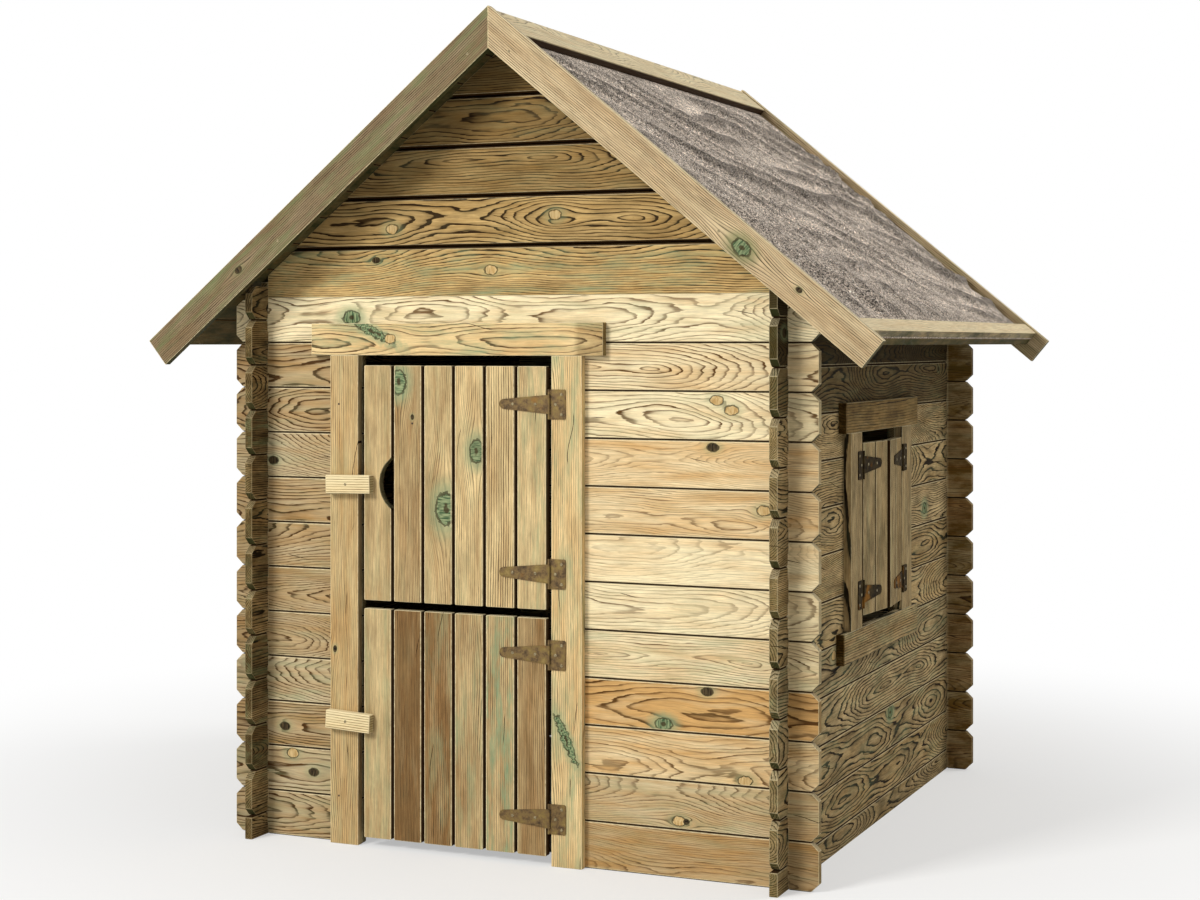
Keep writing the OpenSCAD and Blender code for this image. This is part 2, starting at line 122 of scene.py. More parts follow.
# %% Roof
pitch = math.radians(39.5)
ridge_z = cad_box[HIGH][2]
gable_board_h = 107 * MM
deck_board_w = 88 * MM
cap_depth = 4 * MM
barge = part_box("barge_front_right")
barge_t = barge[HIGH].y - barge[LOW].y
barge_len = barge[HIGH].x / math.cos(pitch)
barge_w = (ridge_z - barge[LOW].z - barge_len * math.sin(pitch)) / math.cos(pitch)
felt_depth = (ridge_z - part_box("roof_felt_right")[HIGH].z) * math.cos(pitch)
deck_depth = (ridge_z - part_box("roof_deck_right")[HIGH].z) * math.cos(pitch)
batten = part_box("eave_batten_right")
deck_end = (batten[HIGH].x + cap_depth * math.sin(pitch)) / math.cos(pitch)
inner_y0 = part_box("roof_deck_right")[LOW].y
inner_y1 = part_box("roof_deck_right")[HIGH].y
deck_t = 18 * MM
under_depth = deck_depth + deck_t
print("roof", ridge_z, barge_len, barge_w, "felt at", felt_depth, "deck end", deck_end)


def under_roof(x):
    """Height of the underside of the roof deck over a place x from the middle of the house."""
    return ridge_z - under_depth / math.cos(pitch) - abs(x) * math.tan(pitch)


# %% [markdown]
# ## One log board
# A log board is a planed plank whose long edges are bevelled, so that two boards meet in a V. Its ends
# are clipped at 45 degrees, and square notches let the crossing wall pass through. It could be a cube
# with boolean cuts, but an outline that is drawn once and given its thickness keeps every corner clean.
# The outline lies in x and z, x along the grain, and the thickness runs along y with the face that shows
# at y = 0. Each point of a board also remembers where it sits in its own plank: the grain is drawn
# from that place, so it follows the board when the board is turned and stood in the wall.

# %% From an outline to a board
EASE = 1.2 * MM
CUT_EVERY = 130 * MM
EDGE_ANGLE = 0.4
SAME = 1e-6


def prism(bm, outline, near, far):
    """Draws an outline in x and z as a solid from y = near to y = far. Returns its near corners and faces."""
    face = [bm.verts.new((x, near, z)) for x, z in outline]
    back = [bm.verts.new((x, far, z)) for x, z in outline]
    made = [bm.faces.new(face), bm.faces.new(back[::-1])]
    for a, b, c, d in zip(face, face[1:] + face[:1], back, back[1:] + back[:1]):
        made.append(bm.faces.new((b, a, c, d)))
    return face, made


def ease_edges(bm, edges, width, steps):
    """Planes a bevel of this width on the edges and returns its faces."""
    made = bmesh.ops.bevel(bm, geom=edges, offset=width, offset_type="OFFSET", segments=steps,
                           affect="EDGES", profile=0.5, clamp_overlap=True)
    return made["faces"]


def board_mesh(outline, thick, vees=(), lean=0.0, ease=EASE, steps=2, gap=0.0, groove=vee):
    """A board from its outline. vees are the heights whose edges get a V, lean tips the lowest edge."""
    bm = bmesh.new()
    joint = bm.verts.layers.float.new("joint")
    arris = bm.faces.layers.float.new("arris")
    prism(bm, outline, 0, thick)
    foot = min(z for x, z in outline)
    middle = (foot + max(z for x, z in outline)) / 2
    levels = []
    for level in vees:
        inside = level + math.copysign(gap / 2, middle - level)
        levels.append(inside)
        for v in bm.verts:
            if abs(v.co.z - level) < SAME:
                v.co.z = inside
    for v in bm.verts:
        if lean and abs(v.co.z - foot) < SAME:
            v.co.z += v.co.y * lean
    bmesh.ops.recalc_face_normals(bm, faces=bm.faces)
    sharp = [e for e in bm.edges if any(all(abs(v.co.z - z) < 10 * SAME for v in e.verts) for z in levels)]
    if sharp:
        ease_edges(bm, sharp, groove, 1)
    for f in ease_edges(bm, [e for e in bm.edges if e.calc_face_angle(0) > EDGE_ANGLE], ease, steps):
        f[arris] = 1.0
    # Cuts across the board give its wander points to bend at
    start = min(v.co.x for v in bm.verts)
    length = max(v.co.x for v in bm.verts) - start
    cuts = max(1, round(length / CUT_EVERY))
    for k in range(1, cuts):
        geom = list(bm.verts) + list(bm.edges) + list(bm.faces)
        bmesh.ops.bisect_plane(bm, geom=geom, dist=SAME, plane_co=(start + length * k / cuts, 0, 0),
                               plane_no=EAST)
    bmesh.ops.remove_doubles(bm, verts=bm.verts, dist=SAME)
    for v in bm.verts:
        away = min((abs(v.co.z - z) for z in levels), default=1.0)
        v[joint] = max(0.0, 1.0 - away / groove)
    return to_mesh("board", bm)


def plank(length, z0, z1, thick, *more, **settings):
    """A plain board of this length, from z0 to z1 across."""
    return board_mesh([(0, z0), (length, z0), (length, z1), (0, z1)], thick, *more, **settings)

# %% [markdown]
# ## Remembering the grain
# Every board is cut from another tree, so besides its place in the plank each one carries a number of
# its own. Both are stored as point attributes, which survive joining, realizing and exporting, while
# generated coordinates would stretch with every change of size.

# %% Boards with their grain attributes, joined to one mesh
def grown(parts):
    """Joins (mesh, number, height) boards to one mesh that knows each point's place in its plank."""
    places = []
    numbers = []
    bm = bmesh.new()
    bm.verts.layers.float.new("joint")
    bm.faces.layers.float.new("arris")
    for mesh, number, height in parts:
        here = np.zeros(len(mesh.vertices) * 3, np.float32)
        mesh.vertices.foreach_get("co", here)
        places.append(here)
        numbers += [number] * len(mesh.vertices)
        moved = mesh.copy()
        moved.transform(Matrix.Translation((0, 0, height)))
        bm.from_mesh(moved)
        bpy.data.meshes.remove(moved)
    joined = to_mesh("boards", bm)
    if parts:
        joined.attributes.new("grain_at", "FLOAT_VECTOR", "POINT").data.foreach_set(
            "vector", np.concatenate(places))
        if numbers[0] is not None:
            joined.attributes.new("board_no", "FLOAT", "POINT").data.foreach_set("value", numbers)
    return joined

# %% [markdown]
# ## A stack of boards by Geometry Nodes
# A wall is the same board over and over, one course above another. Copying it with a loop would do, but
# a Geometry Nodes tree keeps the stack editable: a line of points, a board on each point, a number for
# each board, and a little wander, because no plank stays dead straight. The tree ends in Realize
# Instances, so that what leaves Blender is plain mesh, and in Set Material.

# %% A helper that adds a node
def add(tree, kind, *values, named=None, **settings):
    """Adds a node and returns its outputs. kind is its type, without ShaderNode, and what it does or reads.
    values fill its inputs in order. Each is a number, a hex colour, a socket, or the outputs of a node, of
    which the first is linked. None leaves an input as it is, and named sets inputs by name."""
    word, _, choice = kind.partition(" ")
    node = tree.nodes.new(word if "Node" in word else "ShaderNode" + word)
    if choice:
        settings[next(k for k in ("operation", "data_type", "attribute_name") if hasattr(node, k))] = choice
    for setting, value in settings.items():
        setattr(node, setting, value)
    shown = [socket for socket in node.inputs if socket.enabled]
    for socket, value in [*zip(shown, values), *((node.inputs[k], v) for k, v in (named or {}).items())]:
        if isinstance(value, bpy.types.bpy_prop_collection):
            value = next(output for output in value if output.enabled)
        if isinstance(value, str) and value.startswith("#"):
            value = linear(value)
        if isinstance(value, bpy.types.NodeSocket):
            tree.links.new(value, socket)
        elif value is not None:
            socket.default_value = value
    return node.outputs


def linear(code):
    """An sRGB hex colour as the linear values that a node works with."""
    parts = [int(code[k:k + 2], 16) / 255 for k in (1, 3, 5)]
    return (*[p / 12.92 if p <= 0.04045 else ((p + 0.055) / 1.055) ** 2.4 for p in parts], 1.0)


def new_tree(name, **sockets):
    """An empty Geometry Nodes tree with a geometry input, the named inputs and a geometry output."""
    tree = bpy.data.node_groups.new(name, "GeometryNodeTree")
    tree.interface.new_socket("Geometry", in_out="INPUT", socket_type="NodeSocketGeometry")
    for label, kind in sockets.items():
        tree.interface.new_socket(label, in_out="INPUT", socket_type="NodeSocket" + kind)
    tree.interface.new_socket("Geometry", in_out="OUTPUT", socket_type="NodeSocketGeometry")
    return tree

# %% The tree that stacks boards
t = new_tree("Stack of boards", Board="Object", Boards="Int", Course="Float", First="Float",
             Wander="Float", Seed="Float", Pine="Material")
given = add(t, "NodeGroupInput")
rise = add(t, "CombineXYZ", None, None, given["Course"])
first = add(t, "CombineXYZ", None, None, given["First"])
line = add(t, "GeometryNodeMeshLine", given["Boards"], first, rise)
shape = add(t, "GeometryNodeObjectInfo", given["Board"])["Geometry"]
placed = add(t, "GeometryNodeInstanceOnPoints", line, None, shape)
course_no = add(t, "GeometryNodeInputIndex")
numbered = add(t, "GeometryNodeStoreNamedAttribute FLOAT", placed, None, "board_no", course_no,
               domain="INSTANCE")
together = add(t, "GeometryNodeJoinGeometry", given["Geometry"], named={0: numbered})
real = add(t, "GeometryNodeRealizeInstances", together)
print("stack tree:", len(t.nodes), "nodes so far")

# %% Wander and end grain
# The wander is a slow noise along each board, and its own number makes every board wander its own way.
number = add(t, "GeometryNodeInputNamedAttribute FLOAT", "board_no")
own_way = add(t, "Math ADD", number, given["Seed"])
apart = add(t, "CombineXYZ", None, own_way, own_way)
here = add(t, "GeometryNodeInputPosition")
where = add(t, "VectorMath ADD", here, apart)
bow = add(t, "TexNoise", where, 1.7, 1.0)["Color"]
centred = add(t, "VectorMath SUBTRACT", bow, (0.5, 0.5, 0.5))
across_only = add(t, "VectorMath MULTIPLY", centred, (0.0, 1.0, 0.25))
shift = add(t, "VectorMath SCALE", across_only, given["Wander"])
wandered = add(t, "GeometryNodeSetPosition", real, named={"Offset": shift})
# A face that looks along the grain is end grain, which drinks more stain than the face of a board.
facing = add(t, "GeometryNodeInputNormal")
along, _, _ = add(t, "SeparateXYZ", facing)
looks_along = add(t, "Math ABSOLUTE", along)
is_end = add(t, "Math GREATER_THAN", looks_along, 0.6)
ends = add(t, "GeometryNodeStoreNamedAttribute FLOAT", wandered, None, "end_grain", is_end, domain="FACE")
painted = add(t, "GeometryNodeSetMaterial", ends, None, given["Pine"])
add(t, "NodeGroupOutput", painted)
stack_tree = t
print("stack tree:", len(t.nodes), "nodes")

# %% Running a tree on a mesh
def run_tree(name, mesh, tree, values):
    """The plain mesh object that the tree makes of this mesh with these inputs."""
    carrier = into_scene(name + "_carrier", mesh)
    modifier = carrier.modifiers.new("made", "NODES")
    modifier.node_group = tree
    sockets = {s.name: s.identifier for s in tree.interface.items_tree if s.in_out == "INPUT"}
    for label, value in values.items():
        modifier[sockets[label]] = value
    view = bpy.context.evaluated_depsgraph_get()
    made = bpy.data.meshes.new_from_object(carrier.evaluated_get(view), depsgraph=view)
    made.name = name
    carrier.modifiers.remove(modifier)
    bpy.data.objects.remove(carrier)
    return into_scene(name, made)


def stand(at, along, across):
    """The matrix that stands boards at a place: their x runs along, their z across, their y inward."""
    x = Vector(along)
    z = Vector(across)
    return Matrix.Translation(at) @ Matrix((x, z.cross(x), z)).transposed().to_4x4()

# %% [markdown]
# ## Every board its own tree
# Two boards from one pile never match. Where in the trunk a board was sawn decides whether it shows
# arches or straight lines, and its years in the weather decide its tone. Those traits are drawn by luck
# from the board's own name, so they stay the same on every run, and a board that has something to show,
# such as a big knot, has it listed. They are stored on the points as vectors, and one material reads
# them all. All lengths are in millimetres.
# Where shade falls on some boards, the tones listed for them are darker: painted shade.

# %% Traits of a board
TRAITS = ("tree", "rings", "tone", "reach", "knot_a", "knot_b", "spike")
FAR = 9999.0
OWN = 50


def traits(name, number, width, sawn, mark):
    """The traits of one board, in the order of TRAITS. mark holds what is listed for it."""
    luck = random.Random(f"{name} {number:.0f}")
    if sawn == "flat":
        tree = (luck.uniform(-0.1, 1.1) * width, luck.uniform(18, 60), luck.uniform(20, 34))
    else:
        side = luck.choice((-1, 1)) * luck.uniform(0.55, 1.1)
        tree = ((0.5 + side) * width, luck.uniform(8, 40), luck.uniform(6, 13))
    rings = (luck.uniform(3.0, 5.4), luck.uniform(0.8, 1.15), luck.uniform(0, 9000))
    tone = (luck.uniform(0.84, 1.06), luck.uniform(0.0, 0.5), luck.uniform(0.1, 0.5))
    tone = mark.get("tone", tone)
    tone = (tone[0] * mark.get("light", 1.0), tone[1], tone[2])
    rings = mark.get("rings", rings)
    rings = (rings[0] * mark.get("coarse", 1.0), rings[1] * mark.get("clear", 1.0), rings[2])
    none = (-FAR, 0.0, 1.0)
    if "knots" in mark:
        knots = mark["knots"]
    else:
        knots = [(luck.uniform(-650, 1300), luck.uniform(0.1, 0.9) * width, luck.uniform(4, 10))
                 for k in range(2) if luck.random() < 0.6]
    knot_a, knot_b = (knots + [none, none])[:2]
    return (mark.get("tree", tree), rings, tone, mark.get("reach", (-FAR, FAR, 0.0)), knot_a, knot_b,
            mark.get("spike", none))


def mark_boards(mesh, name, width, sawn, marks):
    """Stores the traits of each board on its points."""
    numbers = np.zeros(len(mesh.vertices))
    mesh.attributes["board_no"].data.foreach_get("value", numbers)
    boards, which = np.unique(np.round(numbers), return_inverse=True)
    shared = marks.get("all", {})
    rows = [traits(name, number, width, sawn, {**shared, **marks.get(int(number), {})}) for number in boards]
    for k, trait in enumerate(TRAITS):
        values = np.array([row[k] for row in rows], np.float32)[which]
        mesh.attributes.new(trait, "FLOAT_VECTOR", "POINT").data.foreach_set("vector", values.ravel())


def mark_undersides(mesh):
    """Stores how far each face looks down, for algae and painted shade, and up, for sun bleaching and painted
    light.
    """
    for name, way in (("under", -1), ("sunned", 1)):
        share = mesh.attributes.new(name, "FLOAT", "FACE")
        share.data.foreach_set("value", [max(0.0, way * f.normal.z) for f in mesh.polygons])


def build(name, node, finish, where, pine, body="house", own=(), board=None, count=0, course=course_h,
          first=0.0, wander=0.8 * MM, width=100.0, sawn="flat", marks=None):
    """Makes a piece of boards and stands it at where, in place of a node: (mesh, height) boards of its
    own, numbered from OWN, and a stack of one board, numbered from 0."""
    values = {"Boards": count, "Course": course, "First": first, "Wander": wander,
              "Seed": float(sum(name.encode()) % 97), "Pine": pine}
    if board is not None:
        values["Board"] = into_scene("one_board", grown([(board, None, 0)]))
    own_mesh = grown([(mesh, OWN + k, height) for k, (mesh, height) in enumerate(own)])
    piece = run_tree(name, own_mesh, stack_tree, values)
    if board is not None:
        bpy.data.objects.remove(values["Board"])
    mark_boards(piece.data, name, width, sawn, marks or {})
    piece.data.transform(where)
    mark_undersides(piece.data)
    keep(piece, body, node)
    return piece

# %% [markdown]
# ## The pine
# Planed Scots pine, pressure-treated and left raw: pale early wood with brown late wood lines, drawn in
# long arches where the saw ran flat to the rings. A wood texture from bands would give straight stripes.
# Here the rings are real: each board lies at its own distance from the heart of its tree, the heart
# drifts along the board, and a line shows wherever a ring's cylinder cuts the face. Arches, straight
# grain and the arcs on the board ends all come from that one rule. Knots push the grain aside, as they
# do in the trunk, and the copper in the treatment leaves them green. A branch that was sawn along its
# length leaves a spike knot, and dirt and cracks lie over it all. Light is painted in too: eased edges
# and what looks up are paler, partly worn and bleached by the sun and partly painted light, and what
# looks down is dark green, partly algae and partly painted shade.

# %% Colours
def new_material(name):
    """A material with an empty node tree, and the tree."""
    material = bpy.data.materials.new(name)
    material.use_nodes = True
    material.node_tree.nodes.clear()
    return material, material.node_tree


def shade(t, **inputs):
    """Ends a tree in the one shader of its surface. An input's name is written with _ for its spaces."""
    named = {name.replace("_", " "): value for name, value in inputs.items()}
    shader = add(t, "BsdfPrincipled", named=named)
    add(t, "OutputMaterial", shader)


def set_stops(ramp, stops):
    """Gives a colour ramp these stops, each a position with a hex colour or a grey."""
    elements = ramp[0].node.color_ramp.elements
    elements[0].position = stops[0][0]
    elements[1].position = stops[-1][0]
    for position, _ in stops[1:-1]:
        elements.new(position)
    for element, (_, colour) in zip(elements, stops):
        element.color = linear(colour) if isinstance(colour, str) else (colour, colour, colour, 1)

# %% The grain of a board
# Most noises count from a dull middle, so their greys are taken from this range.
GREY = (0.3, 0.7)
# A knot and its pull on the grain are so many times longer than wide, and the pull reaches these radii
KNOT_LONG = 1.45
PULL_LONG = 2.3
PULL_REACH = 2.1
# Half the length and half the width of a spike knot, and how wide it counts as a knot
SPIKE_LONG, SPIKE_WIDE, SPIKE_RADIUS = 52, 10, 14.0
# The heart of a tree goes to and fro once in this length
SWAY = 760


def streaks(t, at, *sizes, detail=2.0, rough=0.5):
    """Noise in patches of these sizes in millimetres: along the board, into it and across it."""
    spread = add(t, "VectorMath MULTIPLY", at, [1 / size for size in sizes])
    return add(t, "TexNoise", spread, 1.0, detail, rough)


def trait(t, name):
    """The three numbers of one of the TRAITS."""
    stored = add(t, "Attribute " + name)["Vector"]
    return add(t, "SeparateXYZ", stored)


def grain(t):
    """Adds the nodes that every pine shares and returns the outputs that its colours need."""
    place = add(t, "Attribute grain_at")["Vector"]
    mm = add(t, "VectorMath SCALE", place, 1000.0)
    along, deep, across = add(t, "SeparateXYZ", mm)
    rough = add(t, "TexNoise", mm, 0.09, 3.0)

    # Grain parts before a knot and closes behind it, so the place across the board is pulled to the knot
    parted = across
    found = []
    for spot in ("knot_a", "knot_b"):
        knot_x, knot_z, radius = trait(t, spot)
        past = add(t, "Math SUBTRACT", along, knot_x)
        beside = add(t, "Math SUBTRACT", across, knot_z)
        long = add(t, "Math MULTIPLY", past, 1 / PULL_LONG)
        stretched = add(t, "CombineXYZ", long, beside)
        reach = add(t, "VectorMath LENGTH", stretched)
        far = add(t, "Math DIVIDE", reach, radius)
        farther = add(t, "Math MULTIPLY", far, 1 / PULL_REACH)
        square = add(t, "Math MULTIPLY", farther, farther)
        fall = add(t, "Math MULTIPLY", square, -1.0)
        pull = add(t, "Math EXPONENT", fall)
        part = add(t, "Math MULTIPLY", pull, -0.93)
        parted = add(t, "Math MULTIPLY_ADD", part, beside, parted)
        oval = add(t, "Math MULTIPLY", past, 1 / KNOT_LONG)
        body = add(t, "CombineXYZ", oval, beside)
        size = add(t, "VectorMath LENGTH", body)
        ratio = add(t, "Math DIVIDE", size, radius)
        uneven = add(t, "Math MULTIPLY_ADD", rough, 0.7, ratio)
        ratio = add(t, "Math SUBTRACT", uneven, 0.35)
        found += [ratio, radius]
    ratio_a, radius_a, ratio_b, radius_b = found
    nearer = add(t, "Math MINIMUM", ratio_a, ratio_b)
    is_first = add(t, "Math LESS_THAN", ratio_a, ratio_b)
    round_one = add(t, "Mix", is_first, radius_b, radius_a)

    # A spike knot is a branch that the saw met along its length: a long oval that leans across the board
    spike_x, spike_z, lean = trait(t, "spike")
    middle = add(t, "CombineXYZ", spike_x, spike_z)
    face = add(t, "CombineXYZ", along, across)
    off = add(t, "VectorMath SUBTRACT", face, middle)
    lying = add(t, "VectorRotate", off, None, lean, rotation_type="Z_AXIS", invert=True)
    slim = add(t, "VectorMath MULTIPLY", lying, (1 / SPIKE_LONG, 1 / SPIKE_WIDE, 0))
    size = add(t, "VectorMath LENGTH", slim)
    feathered = add(t, "Math MULTIPLY_ADD", rough, 1.8, size)
    spiked = add(t, "Math SUBTRACT", feathered, 0.9)
    ratio = add(t, "Math MINIMUM", nearer, spiked)
    is_spike = add(t, "Math LESS_THAN", spiked, nearer)
    radius = add(t, "Mix", is_spike, round_one, SPIKE_RADIUS)

    # Where along its tree the board was cut, so that no two share their noise
    spacing, contrast, start = trait(t, "rings")
    cut = add(t, "Math ADD", along, start)
    at = add(t, "CombineXYZ", cut, deep, parted)

    # The heart of the tree drifts along the board
    heart_up, heart_in, drift = trait(t, "tree")
    sway = add(t, "TexNoise", cut, 1 / SWAY, 1.3, noise_dimensions="1D")["Color"]
    swing = add(t, "SeparateColor", sway)
    up_swing = add(t, "MapRange", swing[0], None, None, -1.0, clamp=False)
    in_swing = add(t, "MapRange", swing[1], None, None, -2.6, 2.6, clamp=False)
    up = add(t, "Math MULTIPLY_ADD", up_swing, drift, heart_up)
    inward = add(t, "Math MULTIPLY_ADD", in_swing, drift, heart_in)
    off_up = add(t, "Math SUBTRACT", parted, up)
    off_in = add(t, "Math SUBTRACT", deep, inward)
    flat = add(t, "CombineXYZ", off_up, off_in)
    distance = add(t, "VectorMath LENGTH", flat)

    # No ring is quite round: a slow wobble over centimetres and a ragged one over millimetres
    slow = streaks(t, at, 150, 24, 24)
    fine = streaks(t, at, 34, 2.2, 2.2, detail=1.0)
    wobbles = add(t, "Math MULTIPLY", slow, 0.42)
    wobble = add(t, "Math MULTIPLY_ADD", wobbles, drift, distance)
    ragged = add(t, "Math MULTIPLY_ADD", fine, 1.5, wobble)

    # One year: pale early wood that darkens to a line of late wood and ends sharply
    years = add(t, "Math DIVIDE", ragged, spacing)
    year = add(t, "Math FLOOR", years)
    season = add(t, "Math FRACT", years)
    growth = add(t, "ValToRGB", season)
    set_stops(growth, [(0, 0.05), (0.04, 0), (0.45, 0.05), (0.7, 0.24), (0.84, 0.95), (0.96, 1), (1, 0.05)])
    weather = add(t, "TexWhiteNoise", year, noise_dimensions="1D")
    strong = add(t, "MapRange", weather, None, None, 0.55)
    fade = streaks(t, at, 230, 34, 34)
    seen = add(t, "MapRange", fade, *GREY, 0.5, 1.25)
    strength = add(t, "Math MULTIPLY", strong, seen)
    clear = add(t, "Math MULTIPLY", strength, contrast)
    line = add(t, "Math MULTIPLY", growth, clear, use_clamp=True)

    # Fibres: streaks some 60 mm long, drawn two millimetres apart so that they show
    fibre = streaks(t, at, 60, 2.4, 2.4, detail=3.0, rough=0.7)
    return SimpleNamespace(at=at, line=line, growth=growth, fibre=fibre, ratio=ratio, radius=radius,
                           rough=rough, cut=cut, across=parted, along=along)

# %% The colours of a board
# A drying check wanders over this length, and opens and closes over this one, in millimetres
CRACK_WAVE = 700
CRACK_OPENS = 160
# Small knots are dead and big ones live, and those of about this radius in millimetres are sound and pale
SOUND_RADIUS, SOUND_WITHIN = 10.5, 0.8


def pine(name, early, late, tint, green_tone="#8FA078", dirt=0.15, dirt_tone="#4A3B22", end_tone="#6B6136",
         end_dark=0.5, wet_tone="#86703F", roughness=0.6, checks=0.3, wear_and_light=0.95, relief=0.15 * MM, sheen=0.1):
    """Treated pine in these tones. dirt, end_dark and checks say how far each of them shows. The wear setting
    says how pale the eased edges and the faces that look up get: partly wear, partly painted light.
    """
    material, t = new_material(name)
    g = grain(t)
    light, warm, green = trait(t, "tone")

    # Early wood goes towards its tint in long patches, the rings lie over it, and fibres over both. The
    # dirtier the board, the more its fibres stand out
    patch = streaks(t, g.at, 190, 24, 24, detail=3.0)
    patches = add(t, "MapRange", patch, *GREY, -0.25, 0.4)
    warmth = add(t, "Math ADD", warm, patches, use_clamp=True)
    wood = add(t, "Mix RGBA", warmth, early, tint)
    wood = add(t, "Mix RGBA", g.line, wood, late)
    fibres = add(t, "MapRange", g.fibre, *GREY, 0.76 - 0.28 * dirt, 1.13 + 0.2 * dirt)
    # A board's lightness also carries the painted shade listed for some boards
    lit = add(t, "Math MULTIPLY", fibres, light)
    wood = add(t, "VectorMath SCALE", wood, lit)

    # The green of the treatment: faint long patches, and a halo that follows the grain round a knot
    stain = streaks(t, g.at, 150, 22, 22, detail=4.0, rough=0.65)
    stains = add(t, "MapRange", stain, 0.46, 0.76)
    stained = add(t, "Math MULTIPLY", stains, green)
    halo = add(t, "MapRange", g.ratio, 0.9, 2.6, 0.7, 0.0, interpolation_type="SMOOTHSTEP")
    is_big = add(t, "MapRange", g.radius, 11.5, 13.0)
    halo_some = add(t, "Math MAXIMUM", is_big, 0.5)
    halos = add(t, "Math MULTIPLY", halo, halo_some)
    greens = add(t, "Math MAXIMUM", stained, halos)
    wood = add(t, "Mix RGBA", greens, wood, green_tone)

    # A knot is near black in a small dead one, green in a big live one with a brown heart, and in between
    # as pale as the board, with only its bark showing. Its own rings are too tight to tell apart
    flecks = add(t, "TexNoise", g.at, 0.28, 3.0)
    fleck = add(t, "MapRange", flecks, 0.38, 0.62)
    dead = add(t, "Mix RGBA", fleck, "#15110B", "#54462E")
    live = add(t, "Mix RGBA", fleck, "#385438", "#96A276")
    heart = add(t, "MapRange", g.ratio, 0.22, 0.36, 0.85, 0.0)
    live = add(t, "Mix RGBA", heart, live, "#3A2C18")
    sound = add(t, "Mix RGBA", fleck, "#B8945C", "#D9BE88")
    is_sound = add(t, "Math COMPARE", g.radius, SOUND_RADIUS, SOUND_WITHIN)
    knot = add(t, "Mix RGBA", is_big, dead, live)
    knot = add(t, "Mix RGBA", is_sound, knot, sound)
    inside = add(t, "MapRange", g.ratio, 0.86, 1.02, 1.0, 0.0)
    wood = add(t, "Mix RGBA", inside, wood, knot)
    rim = add(t, "Math COMPARE", g.ratio, 0.98, 0.11)
    rim_some = add(t, "Math MULTIPLY_ADD", rim, g.rough, 0.25)
    bark = add(t, "Math MULTIPLY", rim, rim_some)
    wood = add(t, "Mix RGBA", bark, wood, "#33301C")

    # Dirt lies in patches and end grain is darker. Eased arrises are paler, partly worn and partly a painted
    # highlight, and what looks up is paler, partly bleached by the sun and partly painted light
    end = add(t, "Attribute end_grain")["Fac"]
    ended = add(t, "Math MULTIPLY", end, end_dark)
    wood = add(t, "Mix RGBA", ended, wood, end_tone)
    soil = streaks(t, g.at, 120, 40, 40, detail=6.0, rough=0.72)
    soiled = add(t, "MapRange", soil, 0.40, 0.72, None, dirt)
    wood = add(t, "Mix RGBA", soiled, wood, dirt_tone)
    # Pale eased edges: partly wear, partly a painted highlight along every arris
    arris = add(t, "Attribute arris")["Fac"]
    rubbed_and_highlit = add(t, "MapRange", g.rough, *GREY, 0.35 * wear_and_light, wear_and_light)
    worn_and_highlit = add(t, "Math MULTIPLY", arris, rubbed_and_highlit)
    wood = add(t, "Mix RGBA", worn_and_highlit, wood, "#E9D8AC")
    # Faces that look up are painted paler: partly sun bleaching, partly painted light from above
    sunned = add(t, "Attribute sunned")["Fac"]
    bleach_and_light = add(t, "MapRange", sunned, 0.4, 0.75, None, 0.75 * wear_and_light)
    off_lines = add(t, "MapRange", g.line, None, None, 1.0, 0.1)
    in_fibres = add(t, "MapRange", g.fibre, *GREY, 0.25, 1.0)
    in_both = add(t, "Math MULTIPLY", off_lines, in_fibres)
    bleached_and_lit = add(t, "Math MULTIPLY", bleach_and_light, in_both)
    wood = add(t, "Mix RGBA", bleached_and_lit, wood, "#EFE0B8")

    # The ends that stand out past the crossing wall are wet for longest and darken. What looks down goes
    # dark green, partly algae and partly painted shade
    reach_from, reach_to, darkening = trait(t, "reach")
    before = add(t, "Math SUBTRACT", reach_from, g.along)
    after = add(t, "Math SUBTRACT", g.along, reach_to)
    beyond = add(t, "Math MAXIMUM", before, after)
    is_out = add(t, "MapRange", beyond, -6.0, 6.0)
    blotch = add(t, "MapRange", soil, *GREY, 0.55, 1.3)
    soaked = add(t, "Math MULTIPLY", is_out, darkening)
    wet = add(t, "Math MULTIPLY", soaked, blotch, use_clamp=True)
    wood = add(t, "Mix RGBA", wet, wood, wet_tone, blend_type="MULTIPLY")
    # Dark green on what looks down: partly algae, partly painted shade under things
    under = add(t, "Attribute under")["Fac"]
    moss_and_shade = add(t, "MapRange", under, 0.3, 0.65, None, 0.8)
    algae_and_shade = add(t, "Math MULTIPLY", moss_and_shade, blotch, use_clamp=True)
    wood = add(t, "Mix RGBA", algae_and_shade, wood, "#2F3319")

    # Black: the depth of a V joint, painted shade along the foot of a ridge board, and the drying check,
    # a thin crack that comes and goes
    wave = add(t, "TexNoise", g.cut, 1 / CRACK_WAVE, 3.0, noise_dimensions="1D")
    crack_at = add(t, "MapRange", wave, *GREY, 10.0, 90.0)
    crack = add(t, "Math COMPARE", g.across, crack_at, 0.7)
    opens = add(t, "TexNoise", g.cut, 1 / CRACK_OPENS, 2.0, noise_dimensions="1D")
    is_open = add(t, "MapRange", opens, 0.74 - checks * 0.4, 0.8 - checks * 0.4)
    cracked = add(t, "Math MULTIPLY", crack, is_open)
    joint = add(t, "Attribute joint")["Fac"]
    depth = add(t, "MapRange", joint, 0.03, 0.5, None, 0.97)
    black = add(t, "Math MAXIMUM", depth, cracked)
    wood = add(t, "Mix RGBA", black, wood, "#2B1703")

    # Late wood stands a tenth of a millimetre proud of the worn early wood, and is smoother
    height = add(t, "Math MULTIPLY_ADD", g.fibre, 0.6, g.growth)
    bump = add(t, "Bump", 0.9, relief, None, height)
    matt = add(t, "MapRange", g.growth, None, None, roughness + 0.08, roughness - 0.08)
    shade(t, Base_Color=wood, Normal=bump, Roughness=matt, Specular_IOR_Level=sheen)
    return material


